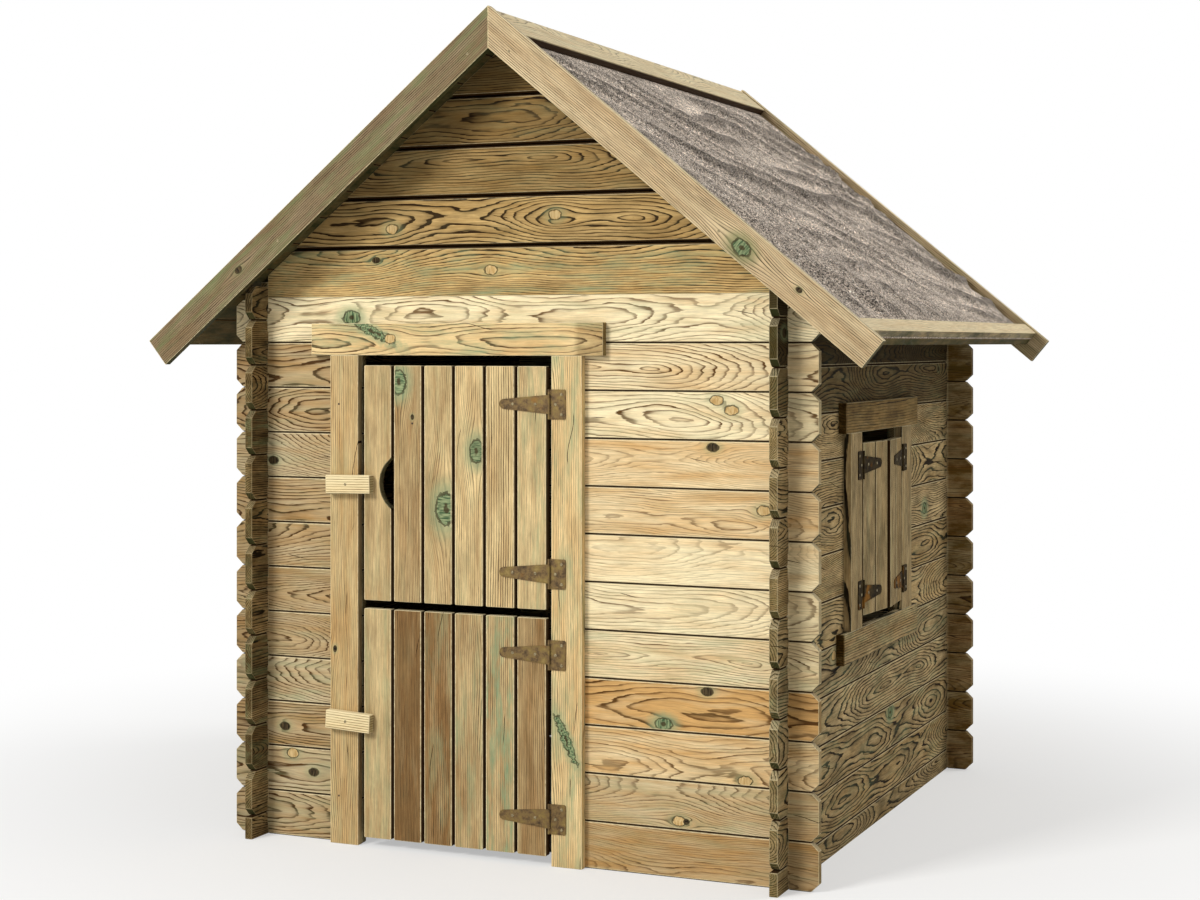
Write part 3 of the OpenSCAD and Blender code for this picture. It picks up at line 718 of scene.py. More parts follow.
log_pine = pine("log_pine_planed", early="#F8E7BB", late="#5C3B14", tint="#D6A869")
# Darker and greyer than the front's pine: partly weathering, partly painted shade on the side walls
weathered_pine = pine("log_pine_weathered_and_shaded", early="#D2B786", late="#1E1408", tint="#A98955", dirt=0.75,
                      dirt_tone="#3A3020", end_tone="#5A5228", end_dark=0.3, wear_and_light=0.5, relief=0.3 * MM,
                      roughness=0.8, sheen=0.04)
# Darker than the walls' pine: painted shade under the overhang of the roof
gable_pine = pine("gable_pine_shaded", early="#CDAD74", late="#2A1907", tint="#A38049", dirt=0.45, wear_and_light=0.5,
                  roughness=0.75, sheen=0.06)
door_pine = pine("door_pine_planed", early="#EACF98", late="#38220C", tint="#A77F4E", dirt=0.35)
trim_pine = pine("trim_pine_planed", early="#EACF98", late="#4C3214", tint="#C6995D", dirt=0.2, checks=0.55)
barge_pine = pine("barge_pine_planed", early="#E2CBA1", late="#3C2810", tint="#B8966A", dirt=0.25,
                  green_tone="#6F7A4E")
new_pine = pine("button_pine_fresh", early="#F0DFB0", late="#80592A", tint="#E6CE98", dirt=0.0, checks=0.0)
deck_pine = pine("deck_pine_sawn", early="#97794C", late="#5C4526", tint="#86683F", dirt=0.4, roughness=0.75,
                 wear_and_light=0.0)
print("pine materials:", [m.name for m in bpy.data.materials if "pine" in m.name])

# %% [markdown]
# ## The walls
# Front and back boards stand on whole courses and side boards half a course lower, so that each board
# notches over the one it crosses. A board is drawn once for each stretch of wall and stacked.

# %% Outlines of the wall boards
FIT = 0.3 * MM
half_h = course_h / 2
quarter_h = course_h / 4


def slots(notches, depth=quarter_h - FIT):
    """The corners of square notches in the foot of a board, at z = 0."""
    return [corner for a, b in notches for corner in ((a, 0.0), (a, depth), (b, depth), (b, 0.0))]


def foot_line(x0, x1, between, clip0=True, clip1=True):
    """The foot of a board from x0 to x1 with these corners between its ends, which may be clipped."""
    left = [(x0, end_clip), (x0 + end_clip, 0.0)] if clip0 else [(x0, 0.0)]
    right = [(x1 - end_clip, 0.0), (x1, end_clip)] if clip1 else [(x1, 0.0)]
    return left + between + right


def turned_over(line, height):
    """The same line as the top of a board of this height."""
    return [(x, height - z) for x, z in reversed(line)]


def log_outline(x0, x1, notches, clip0=True, clip1=True):
    """Outline of a board with square notches of a quarter course above and below."""
    line = foot_line(x0, x1, slots(notches), clip0, clip1)
    return line + turned_over(line, course_h)


def log_board(x0, x1, notches, clip0=True, clip1=True):
    """A board with this outline and a V along both edges."""
    return board_mesh(log_outline(x0, x1, notches, clip0, clip1), board_t, (0.0, course_h))

# %% The front and back walls
front_notches = [(-side_x - FIT, -side_x + board_t + FIT), (side_x - board_t - FIT, side_x + FIT)]
front_end = side_x + end_out
door_x0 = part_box("front_wall_left")[HIGH].x
door_x1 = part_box("front_wall_right")[LOW].x
at_front = stand((0, front_y, 0), EAST, UP)
at_back = stand((0, back_y, 0), WEST, UP)
left_piece = log_board(-front_end, door_x0, front_notches[:1], True, False)
right_piece = log_board(door_x1, front_end, front_notches[1:], False, True)
full_board = log_board(-front_end, front_end, front_notches)
last_z = (courses - 1) * course_h
full_outline = log_outline(-front_end, front_end, front_notches)
top_outline = [(x, min(z, under_roof(x) - last_z)) for x, z in full_outline]
top_parts = [(board_mesh(top_outline, board_t, (0.0,)), last_z)]
wall_mm = side_x / MM
# All boards left of the door are darkened by light 0.68: painted shade on the left of the front
left_marks = {
    "all": {"reach": (-wall_mm, wall_mm, 0.3), "light": 0.68, "tone": (0.95, 0.6, 0.25), "clear": 1.5},
    0: {"tone": (0.93, 0.4, 0.4)},
    1: {"knots": [(-483, 47, 9), (-537, 85, 10.5)], "tone": (0.98, 0.3, 0.5)},
    2: {"knots": [(-557, 44, 9)], "tree": (40, 22, 30), "rings": (6.0, 1.2, 900)},
    3: {"tone": (1.0, 0.35, 0.5)},
    8: {"knots": [(-587, 37, 9)], "tone": (0.98, 0.35, 0.3)},
    9: {"tree": (55, 40, 34), "rings": (6.2, 1.25, 2600)},
    10: {"tree": (30, 40, 30), "rings": (6.0, 1.2, 3300)}}
right_marks = {
    "all": {"reach": (-wall_mm, wall_mm, 0.35)},
    0: {"tone": (0.72, 0.7, 0.3), "rings": (3.6, 0.8, 400)},
    1: {"knots": [(386, 17, 10.5), (400, 17, 6)], "tone": (0.76, 0.5, 0.4), "rings": (3.8, 0.9, 1500)},
    2: {"knots": [(530, 11, 10.5)], "tone": (0.99, 0.55, 0.2), "rings": (5.0, 0.9, 2300)},
    3: {"knots": [(447, 87, 9), (352, 14, 13)], "tone": (0.98, 0.95, 0.1), "rings": (6.4, 1.3, 3100)},
    4: {"tone": (0.99, 0.2, 0.55), "tree": (45, 34, 36), "rings": (5.2, 0.9, 4700)},
    5: {"tone": (1.03, 0.05, 0.25), "tree": (50, 30, 30), "rings": (5.4, 0.8, 5200), "knots": []},
    6: {"tone": (1.04, 0.1, 0.1), "rings": (4.0, 0.45, 600), "knots": []},
    7: {"knots": [(569, 60, 10.5)], "tone": (1.0, 0.5, 0.1), "rings": (4.0, 0.8, 7100)},
    8: {"knots": [(460, 86, 9)], "tone": (1.02, 0.5, 0.05), "rings": (3.8, 0.6, 800)},
    9: {"knots": [(468, 82, 10.5), (500, 62, 10.5)], "tone": (1.03, 0.05, 0.3), "tree": (50, 34, 34),
        "rings": (6.0, 1.0, 9000)},
    10: {"tree": (45, 30, 36), "rings": (6.4, 1.25, 1200), "knots": [], "tone": (1.0, 0.25, 0.1)}}
over_door_marks = {OWN: {"knots": [(-387, 55, 15)], "tree": (55, 42, 34), "rings": (5.4, 1.05, 700),
                         "tone": (1.03, 0.0, 0.35)}}
build("front_boards_left", "front_wall_left", "log_pine", at_front, log_pine, board=left_piece,
      count=door_courses, marks=left_marks)
build("front_boards_right", "front_wall_right", "log_pine", at_front, log_pine, board=right_piece,
      count=door_courses, marks=right_marks)
build("front_board_over_door", "front_wall_over_door", "log_pine", at_front, log_pine, own=top_parts,
      marks=over_door_marks)
build("back_boards", "back_wall", "log_pine", at_back, log_pine, own=top_parts, board=full_board,
      count=courses - 1, marks={"all": {"reach": (-wall_mm, wall_mm, 0.9), "light": 0.9}})

# %% The side walls
at_right = stand((side_x, front_y, 0), NORTH, UP)
at_left = stand((-side_x, back_y, 0), SOUTH, UP)
side_notches = [(-FIT, board_t + FIT), (house_d - board_t - FIT, house_d + FIT)]
side_end = house_d + end_out
window_y0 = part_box("right_wall_before_window")[HIGH].y - front_y
window_y1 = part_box("right_wall_behind_window")[LOW].y - front_y
cut_from = round(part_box("right_wall_below_window")[HIGH].z / course_h + 0.5)
cut_to = round(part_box("right_wall_over_window")[LOW].z / course_h + 0.5)
side_board = log_board(-end_out, side_end, side_notches)
before_board = log_board(-end_out, window_y0, side_notches[:1], True, False)
behind_board = log_board(window_y1, side_end, side_notches[1:], False, True)
# The lowest board is half a board, notched above only
foot_top = foot_line(-end_out, side_end, slots(side_notches), False, False)
foot_outline = [(-end_out, 0.0), (side_end, 0.0)] + turned_over(foot_top, half_h)
foot_part = (board_mesh(foot_outline, board_t, (half_h,)), 0)
# The highest reaches up to the roof between the gables, and its ends are lower
rise = under_roof(side_x) - (courses - 0.5) * course_h
end_h = half_h + quarter_h
step = [(0.0, 0.0), (0.0, end_h - rise), (house_d, end_h - rise), (house_d, 0.0)]
high_outline = (foot_line(-end_out, side_end, slots(side_notches, quarter_h))
                + turned_over(foot_line(-end_out, side_end, step), end_h))
high_part = (board_mesh(high_outline, board_t, (0.0,)), (courses - 0.5) * course_h)
print("window between", window_y0, window_y1, "courses", cut_from, "to", cut_to)

# %% Standing the side walls
side_all = {"reach": (0.0, house_d / MM, 0.1), "coarse": 1.05, "clear": 2.3}
left_wall_marks = {
    "all": {**side_all, "reach": (0.0, house_d / MM, 0.55)},
    1: {"tone": (0.62, 0.4, 0.9)}, 2: {"tone": (0.75, 0.4, 0.8)}, 3: {"tone": (0.55, 0.4, 0.9)},
    5: {"tone": (0.9, 0.4, 0.5)}, 8: {"tone": (0.5, 0.4, 0.9)}}
below_marks = {
    "all": {**side_all, "light": 0.86},
    0: {"tree": (50, 40, 34), "rings": (5.6, 1.0, 100)},
    1: {"knots": [(764, 83, 14)], "tree": (50, 45, 34), "rings": (6.0, 1.1, 1900), "tone": (0.98, 0.3, 0.4)},
    2: {"tree": (50, 34, 34), "rings": (6.2, 1.1, 4200), "tone": (1.03, 0.1, 0.4)},
    3: {"knots": [(314, 78, 11)], "tree": (50, 34, 34), "rings": (6.0, 1.1, 5200)}}
behind_marks = {"all": side_all, 1: {"tree": (45, 30, 34), "rings": (6.2, 1.2, 2500)},
                2: {"knots": [(1080, 39, 14)]}}
# The top boards of the right wall get low tones: painted shade under the eave
over_marks = {"all": side_all, 0: {"tone": (0.47, 0.6, 0.2)}, 1: {"tone": (0.17, 0.8, 0.1)},
              OWN: {"tone": (0.15, 0.8, 0.1)}}
for name, node, where, board, number, count, own, marks in (
        ("left_boards", "left_wall", at_left, side_board, 1, courses - 1, [foot_part, high_part],
         left_wall_marks),
        ("right_boards_below_window", "right_wall_below_window", at_right, side_board, 1, cut_from - 1,
         [foot_part], below_marks),
        ("right_boards_before_window", "right_wall_before_window", at_right, before_board, cut_from,
         cut_to - cut_from, [], {"all": side_all}),
        ("right_boards_behind_window", "right_wall_behind_window", at_right, behind_board, cut_from,
         cut_to - cut_from, [], behind_marks),
        ("right_boards_over_window", "right_wall_over_window", at_right, side_board, cut_to,
         courses - cut_to, [high_part], over_marks)):
    build(name, node, "weathered_pine", where, weathered_pine, own=own, board=board, count=count,
          first=(number - 0.5) * course_h, marks=marks)

# %% The gables
# Their boards lie between the side walls and are sawn to the slope of the roof.
gable_x = side_x - board_t
gable_gap = 2.4 * MM


def gable_outline(z0, z1):
    """Outline of the gable board between two heights, cut by the wall and the underside of the roof."""
    def reach(z):
        return max(0.0, min(gable_x, (under_roof(0) - z) / math.tan(pitch)))
    corner = under_roof(gable_x)
    heights = [z0] + ([corner] if z0 < corner < z1 else []) + [min(z1, under_roof(0) - 1 * MM)]
    right_side = [(reach(z), z) for z in heights]
    return right_side + [(-x, z) for x, z in reversed(right_side)]


gable_parts = []
z = wall_top
while z < under_roof(0) - 3 * MM:
    outline = [(x, h - z) for x, h in gable_outline(z, z + gable_board_h)]
    edges = (gable_board_h,) if z == wall_top else (0.0, gable_board_h)
    gable_parts.append((board_mesh(outline, board_t, edges, gap=gable_gap, groove=2.1 * vee), z))
    z += gable_board_h
# The tones darken towards the top of the gable: painted shade under the roof
gable_marks = {
    "all": {"clear": 1.35, "light": 1.05},
    OWN: {"knots": [(-45, 55, 10.5), (-325, 80, 7)], "tone": (1.18, 0.3, 0.8), "rings": (4.4, 1.2, 300)},
    OWN + 1: {"knots": [(105, 62, 10.5), (-285, 40, 10.5)], "tone": (1.05, 0.4, 0.1), "tree": (52, 26, 34),
              "rings": (7.0, 1.5, 1250)},
    OWN + 2: {"tone": (0.78, 0.6, 0.2), "tree": (70, 40, 34), "rings": (6.0, 1.1, 5100), "knots": []},
    OWN + 3: {"tone": (0.62, 0.7, 0.2), "tree": (60, 50, 34), "rings": (5.0, 1.0, 900), "knots": []},
    OWN + 4: {"tone": (0.5, 0.7, 0.1), "knots": []},
    OWN + 5: {"tone": (0.45, 0.7, 0.1), "knots": []}}
for node, where, marks in (("front_gable", at_front, gable_marks), ("back_gable", at_back, {})):
    build(node + "_boards", node, "log_pine", where, gable_pine, own=gable_parts,
          width=gable_board_h / MM, marks=marks)

# %% [markdown]
# ## Plain boards: jambs, lintel, ledges, window trim
# These are single planks with eased edges. Each is read from its node's box, and turned so that its grain
# runs the way the carpenter laid it.

# %% One plank for a box
def plank_in(node, along, across, pine_kind, finish, mark, sawn="straight"):
    """Replaces a box-shaped node of the house by a plank whose grain runs along, with across up its face."""
    low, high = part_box(node)
    x = Vector(along)
    z = Vector(across)
    y = z.cross(x)
    at = Vector([low[k] if x[k] + y[k] + z[k] > 0 else high[k] for k in range(3)])
    length, width, thick = (abs((high - low).dot(way)) for way in (x, z, y))
    build(node + "_plank", node, finish, stand(at, x, z), pine_kind, width=width / MM, sawn=sawn,
          own=[(plank(length, 0, width, thick), 0)],
          marks={"all": {"clear": 1.2, "coarse": 1.2}, OWN: mark})


plank_in("door_jamb_left", DOWN, EAST, trim_pine, "door_pine",
         {"knots": [(645, 12, 5)], "tone": (0.88, 0.4, 0.3), "rings": (3.4, 0.8, 1000)})
plank_in("door_jamb_right", DOWN, EAST, trim_pine, "door_pine",
         {"knots": [], "spike": (801, 33, 0.43), "tone": (1.07, 0.15, 0.9), "rings": (3.2, 0.8, 2000)})
plank_in("door_lintel", EAST, UP, trim_pine, "log_pine",
         {"knots": [(197, 36, 9.9)], "spike": (153, 52, -0.43), "tone": (1.07, 0.2, 0.8),
          "rings": (4.2, 1.0, 3000), "reach": (-FAR, 640, 0.5)}, sawn="flat")
for node, tone in (("window_header", (0.72, 1.0, 0.1)), ("window_sill_board", (0.86, 0.4, 0.4))):
    plank_in(node, NORTH, UP, weathered_pine, "weathered_pine",
             {"tone": tone, "clear": 1.3, "knots": [], "reach": (3, FAR, 1.3)})
for node in ("window_jamb_front", "window_jamb_rear"):
    plank_in(node, DOWN, NORTH, weathered_pine, "weathered_pine", {"light": 0.9, "clear": 2.0, "knots": []})

# %% [markdown]
# ## The stable door
# Two leaves of upright boards on ledges. The first board of the upper leaf has a crescent sawn into its
# edge, a hand hole to pull the door by.

# %% Leaf boards
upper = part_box("upper_door_boards")
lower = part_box("lower_door_boards")
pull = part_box("upper_door_pull_board")
leaf_board_w = pull[HIGH].x - pull[LOW].x
leaf_t = pull[HIGH].y - pull[LOW].y
LEAF = {"vees": (0.0, leaf_board_w), "gap": 2.2 * MM, "groove": 1.5 * vee}
upper_marks = {
    0: {"knots": [(36, 16, 18), (111, 49, 4)], "tone": (0.9, 0.45, 0.2), "rings": (3.8, 1.1, 500)},
    1: {"knots": [(307, 56, 24)], "tone": (0.97, 0.35, 0.4), "rings": (3.4, 0.8, 1300)},
    2: {"knots": [(182, 56, 17)], "tone": (1.04, 0.15, 0.35), "rings": (4.2, 0.9, 2300)},
    3: {"knots": [], "tone": (1.02, 0.2, 0.1), "tree": (-40, 16, 9), "rings": (5.6, 1.4, 3300)},
    4: {"knots": [], "tone": (1.0, 0.1, 0.95), "rings": (3.4, 0.8, 4300)}}
lower_marks = {
    0: {"knots": [], "tone": (0.9, 0.15, 0.6), "rings": (3.4, 0.8, 150)},
    1: {"knots": [], "tone": (0.68, 1.0, 0.1), "rings": (3.6, 1.4, 1150)},
    2: {"knots": [], "tone": (0.8, 0.8, 0.6), "rings": (4.0, 1.4, 2150)},
    3: {"knots": [], "tone": (0.9, 0.4, 0.75), "rings": (4.0, 1.1, 3150)},
    4: {"knots": [], "tone": (0.92, 0.3, 2.0), "rings": (4.2, 1.2, 4150)},
    5: {"knots": [], "tone": (0.84, 0.65, 0.1), "rings": (3.6, 1.0, 5150)}}


def leaf_piece(name, node, body, marks, **boards):
    """Upright leaf boards, whose x runs down from the top of the leaf."""
    low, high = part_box(node)
    return build(name, node, "door_pine", stand((low.x, low.y, high.z), DOWN, EAST), door_pine, body=body,
                 course=leaf_board_w, width=leaf_board_w / MM, sawn="straight", marks=marks, **boards)


for name, node, body, (low, high), marks in (
        ("upper_leaf_boards", "upper_door_boards", "upper_leaf", upper, upper_marks),
        ("lower_leaf_boards", "lower_door_boards", "lower_leaf", lower, lower_marks)):
    leaf_piece(name, node, body, marks, board=plank(high.z - low.z, 0, leaf_board_w, leaf_t, **LEAF),
               count=round((high.x - low.x) / leaf_board_w))

# %% The pull board and its crescent
moon_r = 66 * MM
moon_w = 32 * MM
half_leaf = (pull[HIGH].z - pull[LOW].z) / 2
moon_angle = math.acos((moon_r - moon_w) / moon_r)
moon_edge = [(half_leaf + moon_r * math.sin(a), leaf_board_w - moon_w + moon_r - moon_r * math.cos(a))
             for a in np.linspace(moon_angle, -moon_angle, 24)]
pull_outline = [(0, 0), (2 * half_leaf, 0), (2 * half_leaf, leaf_board_w), *moon_edge, (0, leaf_board_w)]
pull_board = leaf_piece("upper_leaf_pull_board", "upper_door_pull_board", "upper_leaf",
                        {OWN: {"knots": [], "tone": (0.94, 0.3, 0.35), "rings": (3.4, 0.8, 60)}},
                        own=[(board_mesh(pull_outline, leaf_t, **LEAF), 0)])
# The sawn edge of the crescent gets the dark green of what looks down: partly algae on the damp edge,
# partly painted shade inside the hole
moon_z = (pull[HIGH].z + pull[LOW].z) / 2
for f, share in zip(pull_board.data.polygons, pull_board.data.attributes["under"].data):
    near_moon = abs(f.center.z - moon_z) < moon_r * math.sin(moon_angle) + 2 * MM
    if near_moon and f.center.x > pull[HIGH].x - moon_w - 3 * MM and abs(f.normal.y) < 0.95:
        share.value = 0.65

# %% Ledges behind the leaves
# Each leaf has two, one above the other, seen from inside the house.
ledge_w = 70 * MM
for node, body in (("upper_door_ledges", "upper_leaf"), ("lower_door_ledges", "lower_leaf")):
    low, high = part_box(node)
    ledge = plank(high.x - low.x, 0, ledge_w, high.y - low.y, ease=1.5 * MM)
    build(node + "_planks", node, "door_pine", stand((high.x, high.y, low.z), WEST, UP), trim_pine,
          body=body, board=ledge, count=2, course=high.z - low.z - ledge_w, width=ledge_w / MM,
          sawn="straight")

# %% [markdown]
# ## Turn buttons
# Two short blocks of fresh pine, each on one screw, hold the leaves shut. They hang a little askew.

# %% Tilted blocks
button_len = 110 * MM
button_h = 40 * MM
for node, body, tilt in (("upper_turn_button", "upper_leaf", 1), ("lower_turn_button", "lower_leaf", -3)):
    low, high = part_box(node)
    angle = math.radians(tilt)
    along = Vector((math.cos(angle), 0, math.sin(angle)))
    across = Vector((-math.sin(angle), 0, math.cos(angle)))
    middle = (low + high) / 2
    at = Vector((middle.x, low.y, middle.z)) - along * button_len / 2 - across * button_h / 2
    block = plank(button_len, 0, button_h, high.y - low.y, ease=1.8 * MM, steps=3)
    build(node + "_block", node, "new_pine", stand(at, along, across), new_pine, body=body,
          own=[(block, 0)], wander=0.0,
          marks={OWN: {"knots": [], "tree": (-140, 10, 1), "rings": (5.4, 1.2, 300), "tone": (1, 0.1, 0)}})

# %% [markdown]
# ## Shutters
# Two small shutters of two boards each, standing a little ajar on their hinges.

# %% Boards on a hinge line
trim_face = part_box("window_jamb_front")[HIGH].x
shutter_t = 18 * MM
steel_t = 2 * MM
shutter_gap = 5 * MM
window_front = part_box("window_jamb_front")[HIGH].y
window_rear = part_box("window_jamb_rear")[LOW].y
shutter_w = (window_rear - window_front - 3 * shutter_gap) / 2
# Each shutter has its pin, the angle at which it stands ajar, and the side on which it hangs
SHUTTERS = (("shutter_front", window_front + shutter_gap / 2, 4.5, 1),
            ("shutter_rear", window_rear - shutter_gap / 2, 6, -1))


def ajar_way(ajar, side):
    """The way from the pin of a shutter to the middle of the window."""
    return Vector((math.sin(math.radians(ajar)), side * math.cos(math.radians(ajar)), 0))


for node, pin_y, ajar, side in SHUTTERS:
    low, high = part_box(node)
    reach = ajar_way(ajar, side)
    across = reach * side
    corner = Vector((trim_face + steel_t, pin_y, high.z)) + across.cross(Vector(DOWN)) * steel_t
    corner += reach * (shutter_gap / 2 + (0 if side == 1 else shutter_w))
    board_w = shutter_w / 2
    half = plank(high.z - low.z, 0, board_w, shutter_t, (0.0, board_w), gap=1.4 * MM, groove=1.3 * vee)
    build(node + "_boards", node, "weathered_pine", stand(corner, DOWN, across), weathered_pine, board=half,
          count=2, course=board_w, wander=0.3 * MM, width=board_w / MM, sawn="straight",
          marks={"all": {"clear": 2.1, "light": 0.96, "knots": []}})

# %% [markdown]
# ## The roof boards
# Deck boards run along the ridge under the felt. Ridge boards and eave battens lie on the felt, and barge
# boards close both gables, mitred where they meet at the top.

# %% Slope frames
slope_cos = math.cos(pitch)
slope_sin = math.sin(pitch)
roof_run = inner_y1 - inner_y0


def on_slope(side, depth):
    """Stands boards on a slope: x along the ridge, z down the slope from the ridge, y into the roof."""
    outward = Vector((side * slope_sin, 0, slope_cos))
    start = Vector((0, inner_y1 if side == 1 else inner_y0, ridge_z))
    return stand(start - outward * depth, (0, -side, 0), (side * slope_cos, 0, -slope_sin))


def mitre(depth):
    """Where a layer at this depth meets the middle of the roof, measured down the slope."""
    return depth * math.tan(pitch)


cap_t = felt_depth - cap_depth
ridge_w = 90 * MM
batten_w = 38 * MM
ridge_mesh = plank(roof_run, mitre(cap_depth), ridge_w, cap_t, (ridge_w,), lean=math.tan(pitch))
# Painted shade: the V on a ridge board's lower edge is black mostly at its foot, where it lies on the felt
for v, share in zip(ridge_mesh.vertices, ridge_mesh.attributes["joint"].data):
    share.value *= min(1.0, 0.3 + v.co.y / cap_t)
batten_mesh = plank(roof_run, deck_end - batten_w, deck_end, cap_t, ease=1.5 * MM)
edges = [deck_end]
while edges[-1] > deck_board_w + mitre(under_depth):
    edges.append(edges[-1] - deck_board_w)
deck_parts = [(plank(roof_run, a, b, deck_t, (a,) if b == deck_end else (a, b)), 0)
              for b, a in zip(edges, edges[1:])]
deck_parts.append((plank(roof_run, mitre(deck_depth), edges[-1], deck_t, (edges[-1],),
                         lean=math.tan(pitch)), 0))
print("deck boards on a slope:", len(deck_parts))

# %% Laying them
for side, word in ((1, "right"), (-1, "left")):
    build("deck_boards_" + word, "roof_deck_" + word, "deck_pine", on_slope(side, deck_depth), deck_pine,
          own=deck_parts, wander=0.0)
    for name, node, mesh in (("ridge_cap_", "ridge_board_", ridge_mesh),
                             ("eave_strip_", "eave_batten_", batten_mesh)):
        build(name + word, node + word, "log_pine", on_slope(side, cap_depth), log_pine,
              own=[(mesh, 0)], wander=0.4 * MM)

# %% Barge boards
barge_outline = [(0, 0), (mitre(barge_w), -barge_w), (barge_len, -barge_w), (barge_len, 0)]
barge_right = board_mesh(barge_outline, barge_t)
barge_left = board_mesh([(-x, z) for x, z in reversed(barge_outline)], barge_t)
barge_front_y = barge[LOW].y
barge_rear_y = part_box("barge_rear_right")[HIGH].y
barge_marks = {
    "barge_front_right": {"knots": [(758, -42, 15), (904, -32, 5)], "tone": (0.98, 0.25, 0.1),
                          "tree": (150, 40, 8), "rings": (3.4, 0.9, 700)},
    "barge_front_left": {"knots": [(-817, -30, 7)], "tone": (0.46, 0.5, 0.9), "tree": (160, 40, 8),
                         "rings": (3.4, 1.0, 1700)}}
for end, y, way in (("front", barge_front_y, 1), ("rear", barge_rear_y, -1)):
    for word, side in (("right", 1), ("left", -1)):
        node = "barge_" + end + "_" + word
        along = (way * slope_cos, 0, -side * way * slope_sin)
        build(node + "_plank", node, "barge_pine",
              stand((0, y, ridge_z), along, (side * slope_sin, 0, slope_cos)), barge_pine,
              own=[(barge_right if side == way else barge_left, 0)], wander=0.0, width=barge_w / MM,
              sawn="straight", marks={"all": {"clear": 1.5, "coarse": 1.25}, OWN: barge_marks.get(node, {})})

# %% [markdown]
# ## The felt
# Bitumen roofing felt: a stiff sheet with mineral granules pressed into its face, laid over the boards
# and nailed under the caps. The sun has let it creep, so it lies in long low wrinkles that run askew
# down the slope. A cloth simulation would make folds as soft as a curtain's, and the felt is held
# everywhere but in its middle, so the wrinkles are drawn instead: stretched noise, sharpened to crests,
# which fades out where the caps press the sheet flat.

# %% The shape of the wrinkles
felt_t = 3 * MM
felt_x0 = mitre(felt_depth)
felt_x1 = deck_end
press_from = ridge_w + 6 * MM
press_to = deck_end - batten_w - 6 * MM
WRINKLE_H = 17 * MM
CURL_H = 24 * MM
RIM_FADE = 50 * MM
SIDE_FADE = 30 * MM
CURL_FADE = 35 * MM


def clamp(value):
    """The value, kept between 0 and 1."""
    return max(0.0, min(1.0, value))


def crest(x, y, spacing, long, seed):
    """A height from 0 to 1: crests that lie spacing apart, wander, and come and go over long metres."""
    wander = noise.noise(Vector((x / long, y / (4 * spacing), seed)))
    place = y / spacing + 1.5 * wander
    part = place - math.floor(place)
    rise = part / 0.7 if part < 0.7 else (1.0 - part) / 0.3
    comes = 0.55 + 1.3 * noise.noise(Vector((x / long, 7.3 * math.floor(place), seed + 5.0)))
    return clamp(comes) * rise ** 1.7


def wrinkle(front, down, seed):
    """Height of the felt above its flat state, at a place behind the front gable and down the slope."""
    rim = min(down - press_from, press_to - down) / RIM_FADE
    side = min(front, roof_run - front) / SIDE_FADE
    held = clamp(rim) * (0.35 + 0.65 * clamp(side))
    lower = clamp((down - 0.3 - 0.6 * front) * 3.0)
    total = 0.0
    for turn, weight, spacing, long in (
            (17, 1.0 - lower, 0.085, 0.45), (36, 0.5 * (1.0 - lower), 0.052, 0.28),
            (66, lower, 0.11, 0.6), (80, 0.4 * lower, 0.06, 0.35)):
        a = math.radians(turn)
        x = front * math.cos(a) + down * math.sin(a)
        y = down * math.cos(a) - front * math.sin(a)
        total += weight * crest(x, y, spacing, long, seed + turn)
    return held * total * WRINKLE_H

# %% The felt sheets
ACROSS, DOWNWARD = 180, 140


def around(rows):
    """The corners along the rim of a grid, in order."""
    return rows[0] + [row[-1] for row in rows[1:]] + rows[-1][-2::-1] + [row[0] for row in rows[-2:0:-1]]


def felt_sheet(word, side, seed):
    """A closed sheet whose face is wrinkled and whose back lies flat on the deck."""
    bm = bmesh.new()
    fold = bm.verts.layers.float.new("fold")
    rows = []
    for j in range(DOWNWARD + 1):
        down = felt_x0 + (felt_x1 - felt_x0) * j / DOWNWARD
        free = press_from < down < press_to
        ragged = noise.noise(Vector((down * 9.0, seed, 0.0)))
        curl = max(0.0, noise.noise(Vector((down * 5.0, seed + 7.0, 0.0))) - 0.12)
        ends = 0.5 * MM + (3 * MM + 5 * MM * abs(ragged)) * free
        row = []
        for i in range(ACROSS + 1):
            along = roof_run * i / ACROSS
            front = roof_run - along if side == 1 else along
            rear = max(0.0, 1.0 - (roof_run - front) / CURL_FADE)
            lift = wrinkle(front, down, seed) + rear * curl * CURL_H * free
            row.append(bm.verts.new((min(max(along, ends), roof_run - ends), -lift, down)))
        rows.append(row)
    backs = [[bm.verts.new((v.co.x, felt_t, v.co.z)) for v in row] for row in rows]
    for grid, step in ((rows, 1), (backs, -1)):
        for high_row, low_row in zip(grid, grid[1:]):
            for i in range(ACROSS):
                bm.faces.new((high_row[i], high_row[i + 1], low_row[i + 1], low_row[i])[::step])
    loop = around(rows)
    under = around(backs)
    for k in range(len(loop)):
        n = (k + 1) % len(loop)
        bm.faces.new((loop[k], under[k], under[n], loop[n]))
    for v in rows[0] + backs[0]:
        v.co.z = mitre(felt_depth + max(0.0, v.co.y)) + 0.2 * MM
    bmesh.ops.recalc_face_normals(bm, faces=bm.faces)
    for f in bm.faces:
        f.smooth = True
    for row in backs:
        for v in row:
            v[fold] = 1.0
    # fold holds painted light and shade: low where the face rises towards the eave, which the felt paints
    # lighter, high where it sinks, which it paints darker, and 1 on the back
    for row, next_row in zip(rows, rows[4:] + rows[-4:]):
        for v, lower_v in zip(row, next_row):
            v[fold] = 0.42 + (lower_v.co.y - v.co.y) / (15 * MM)
    mesh = to_mesh("felt_sheet_" + word, bm)
    mesh.transform(on_slope(side, felt_depth))
    mesh.materials.append(felt)
    keep(into_scene("felt_sheet_" + word, mesh), "house", "roof_felt_" + word)

# %% [markdown]
# ## Mineral granules
# Crushed slate pressed into hot bitumen: grey grains from near black to a pinkish buff, about a
# millimetre across, with the black showing between them where they have worn away. A grain that small
# vanishes at arm's length, so the cells here are over two millimetres wide, coarse enough to show.

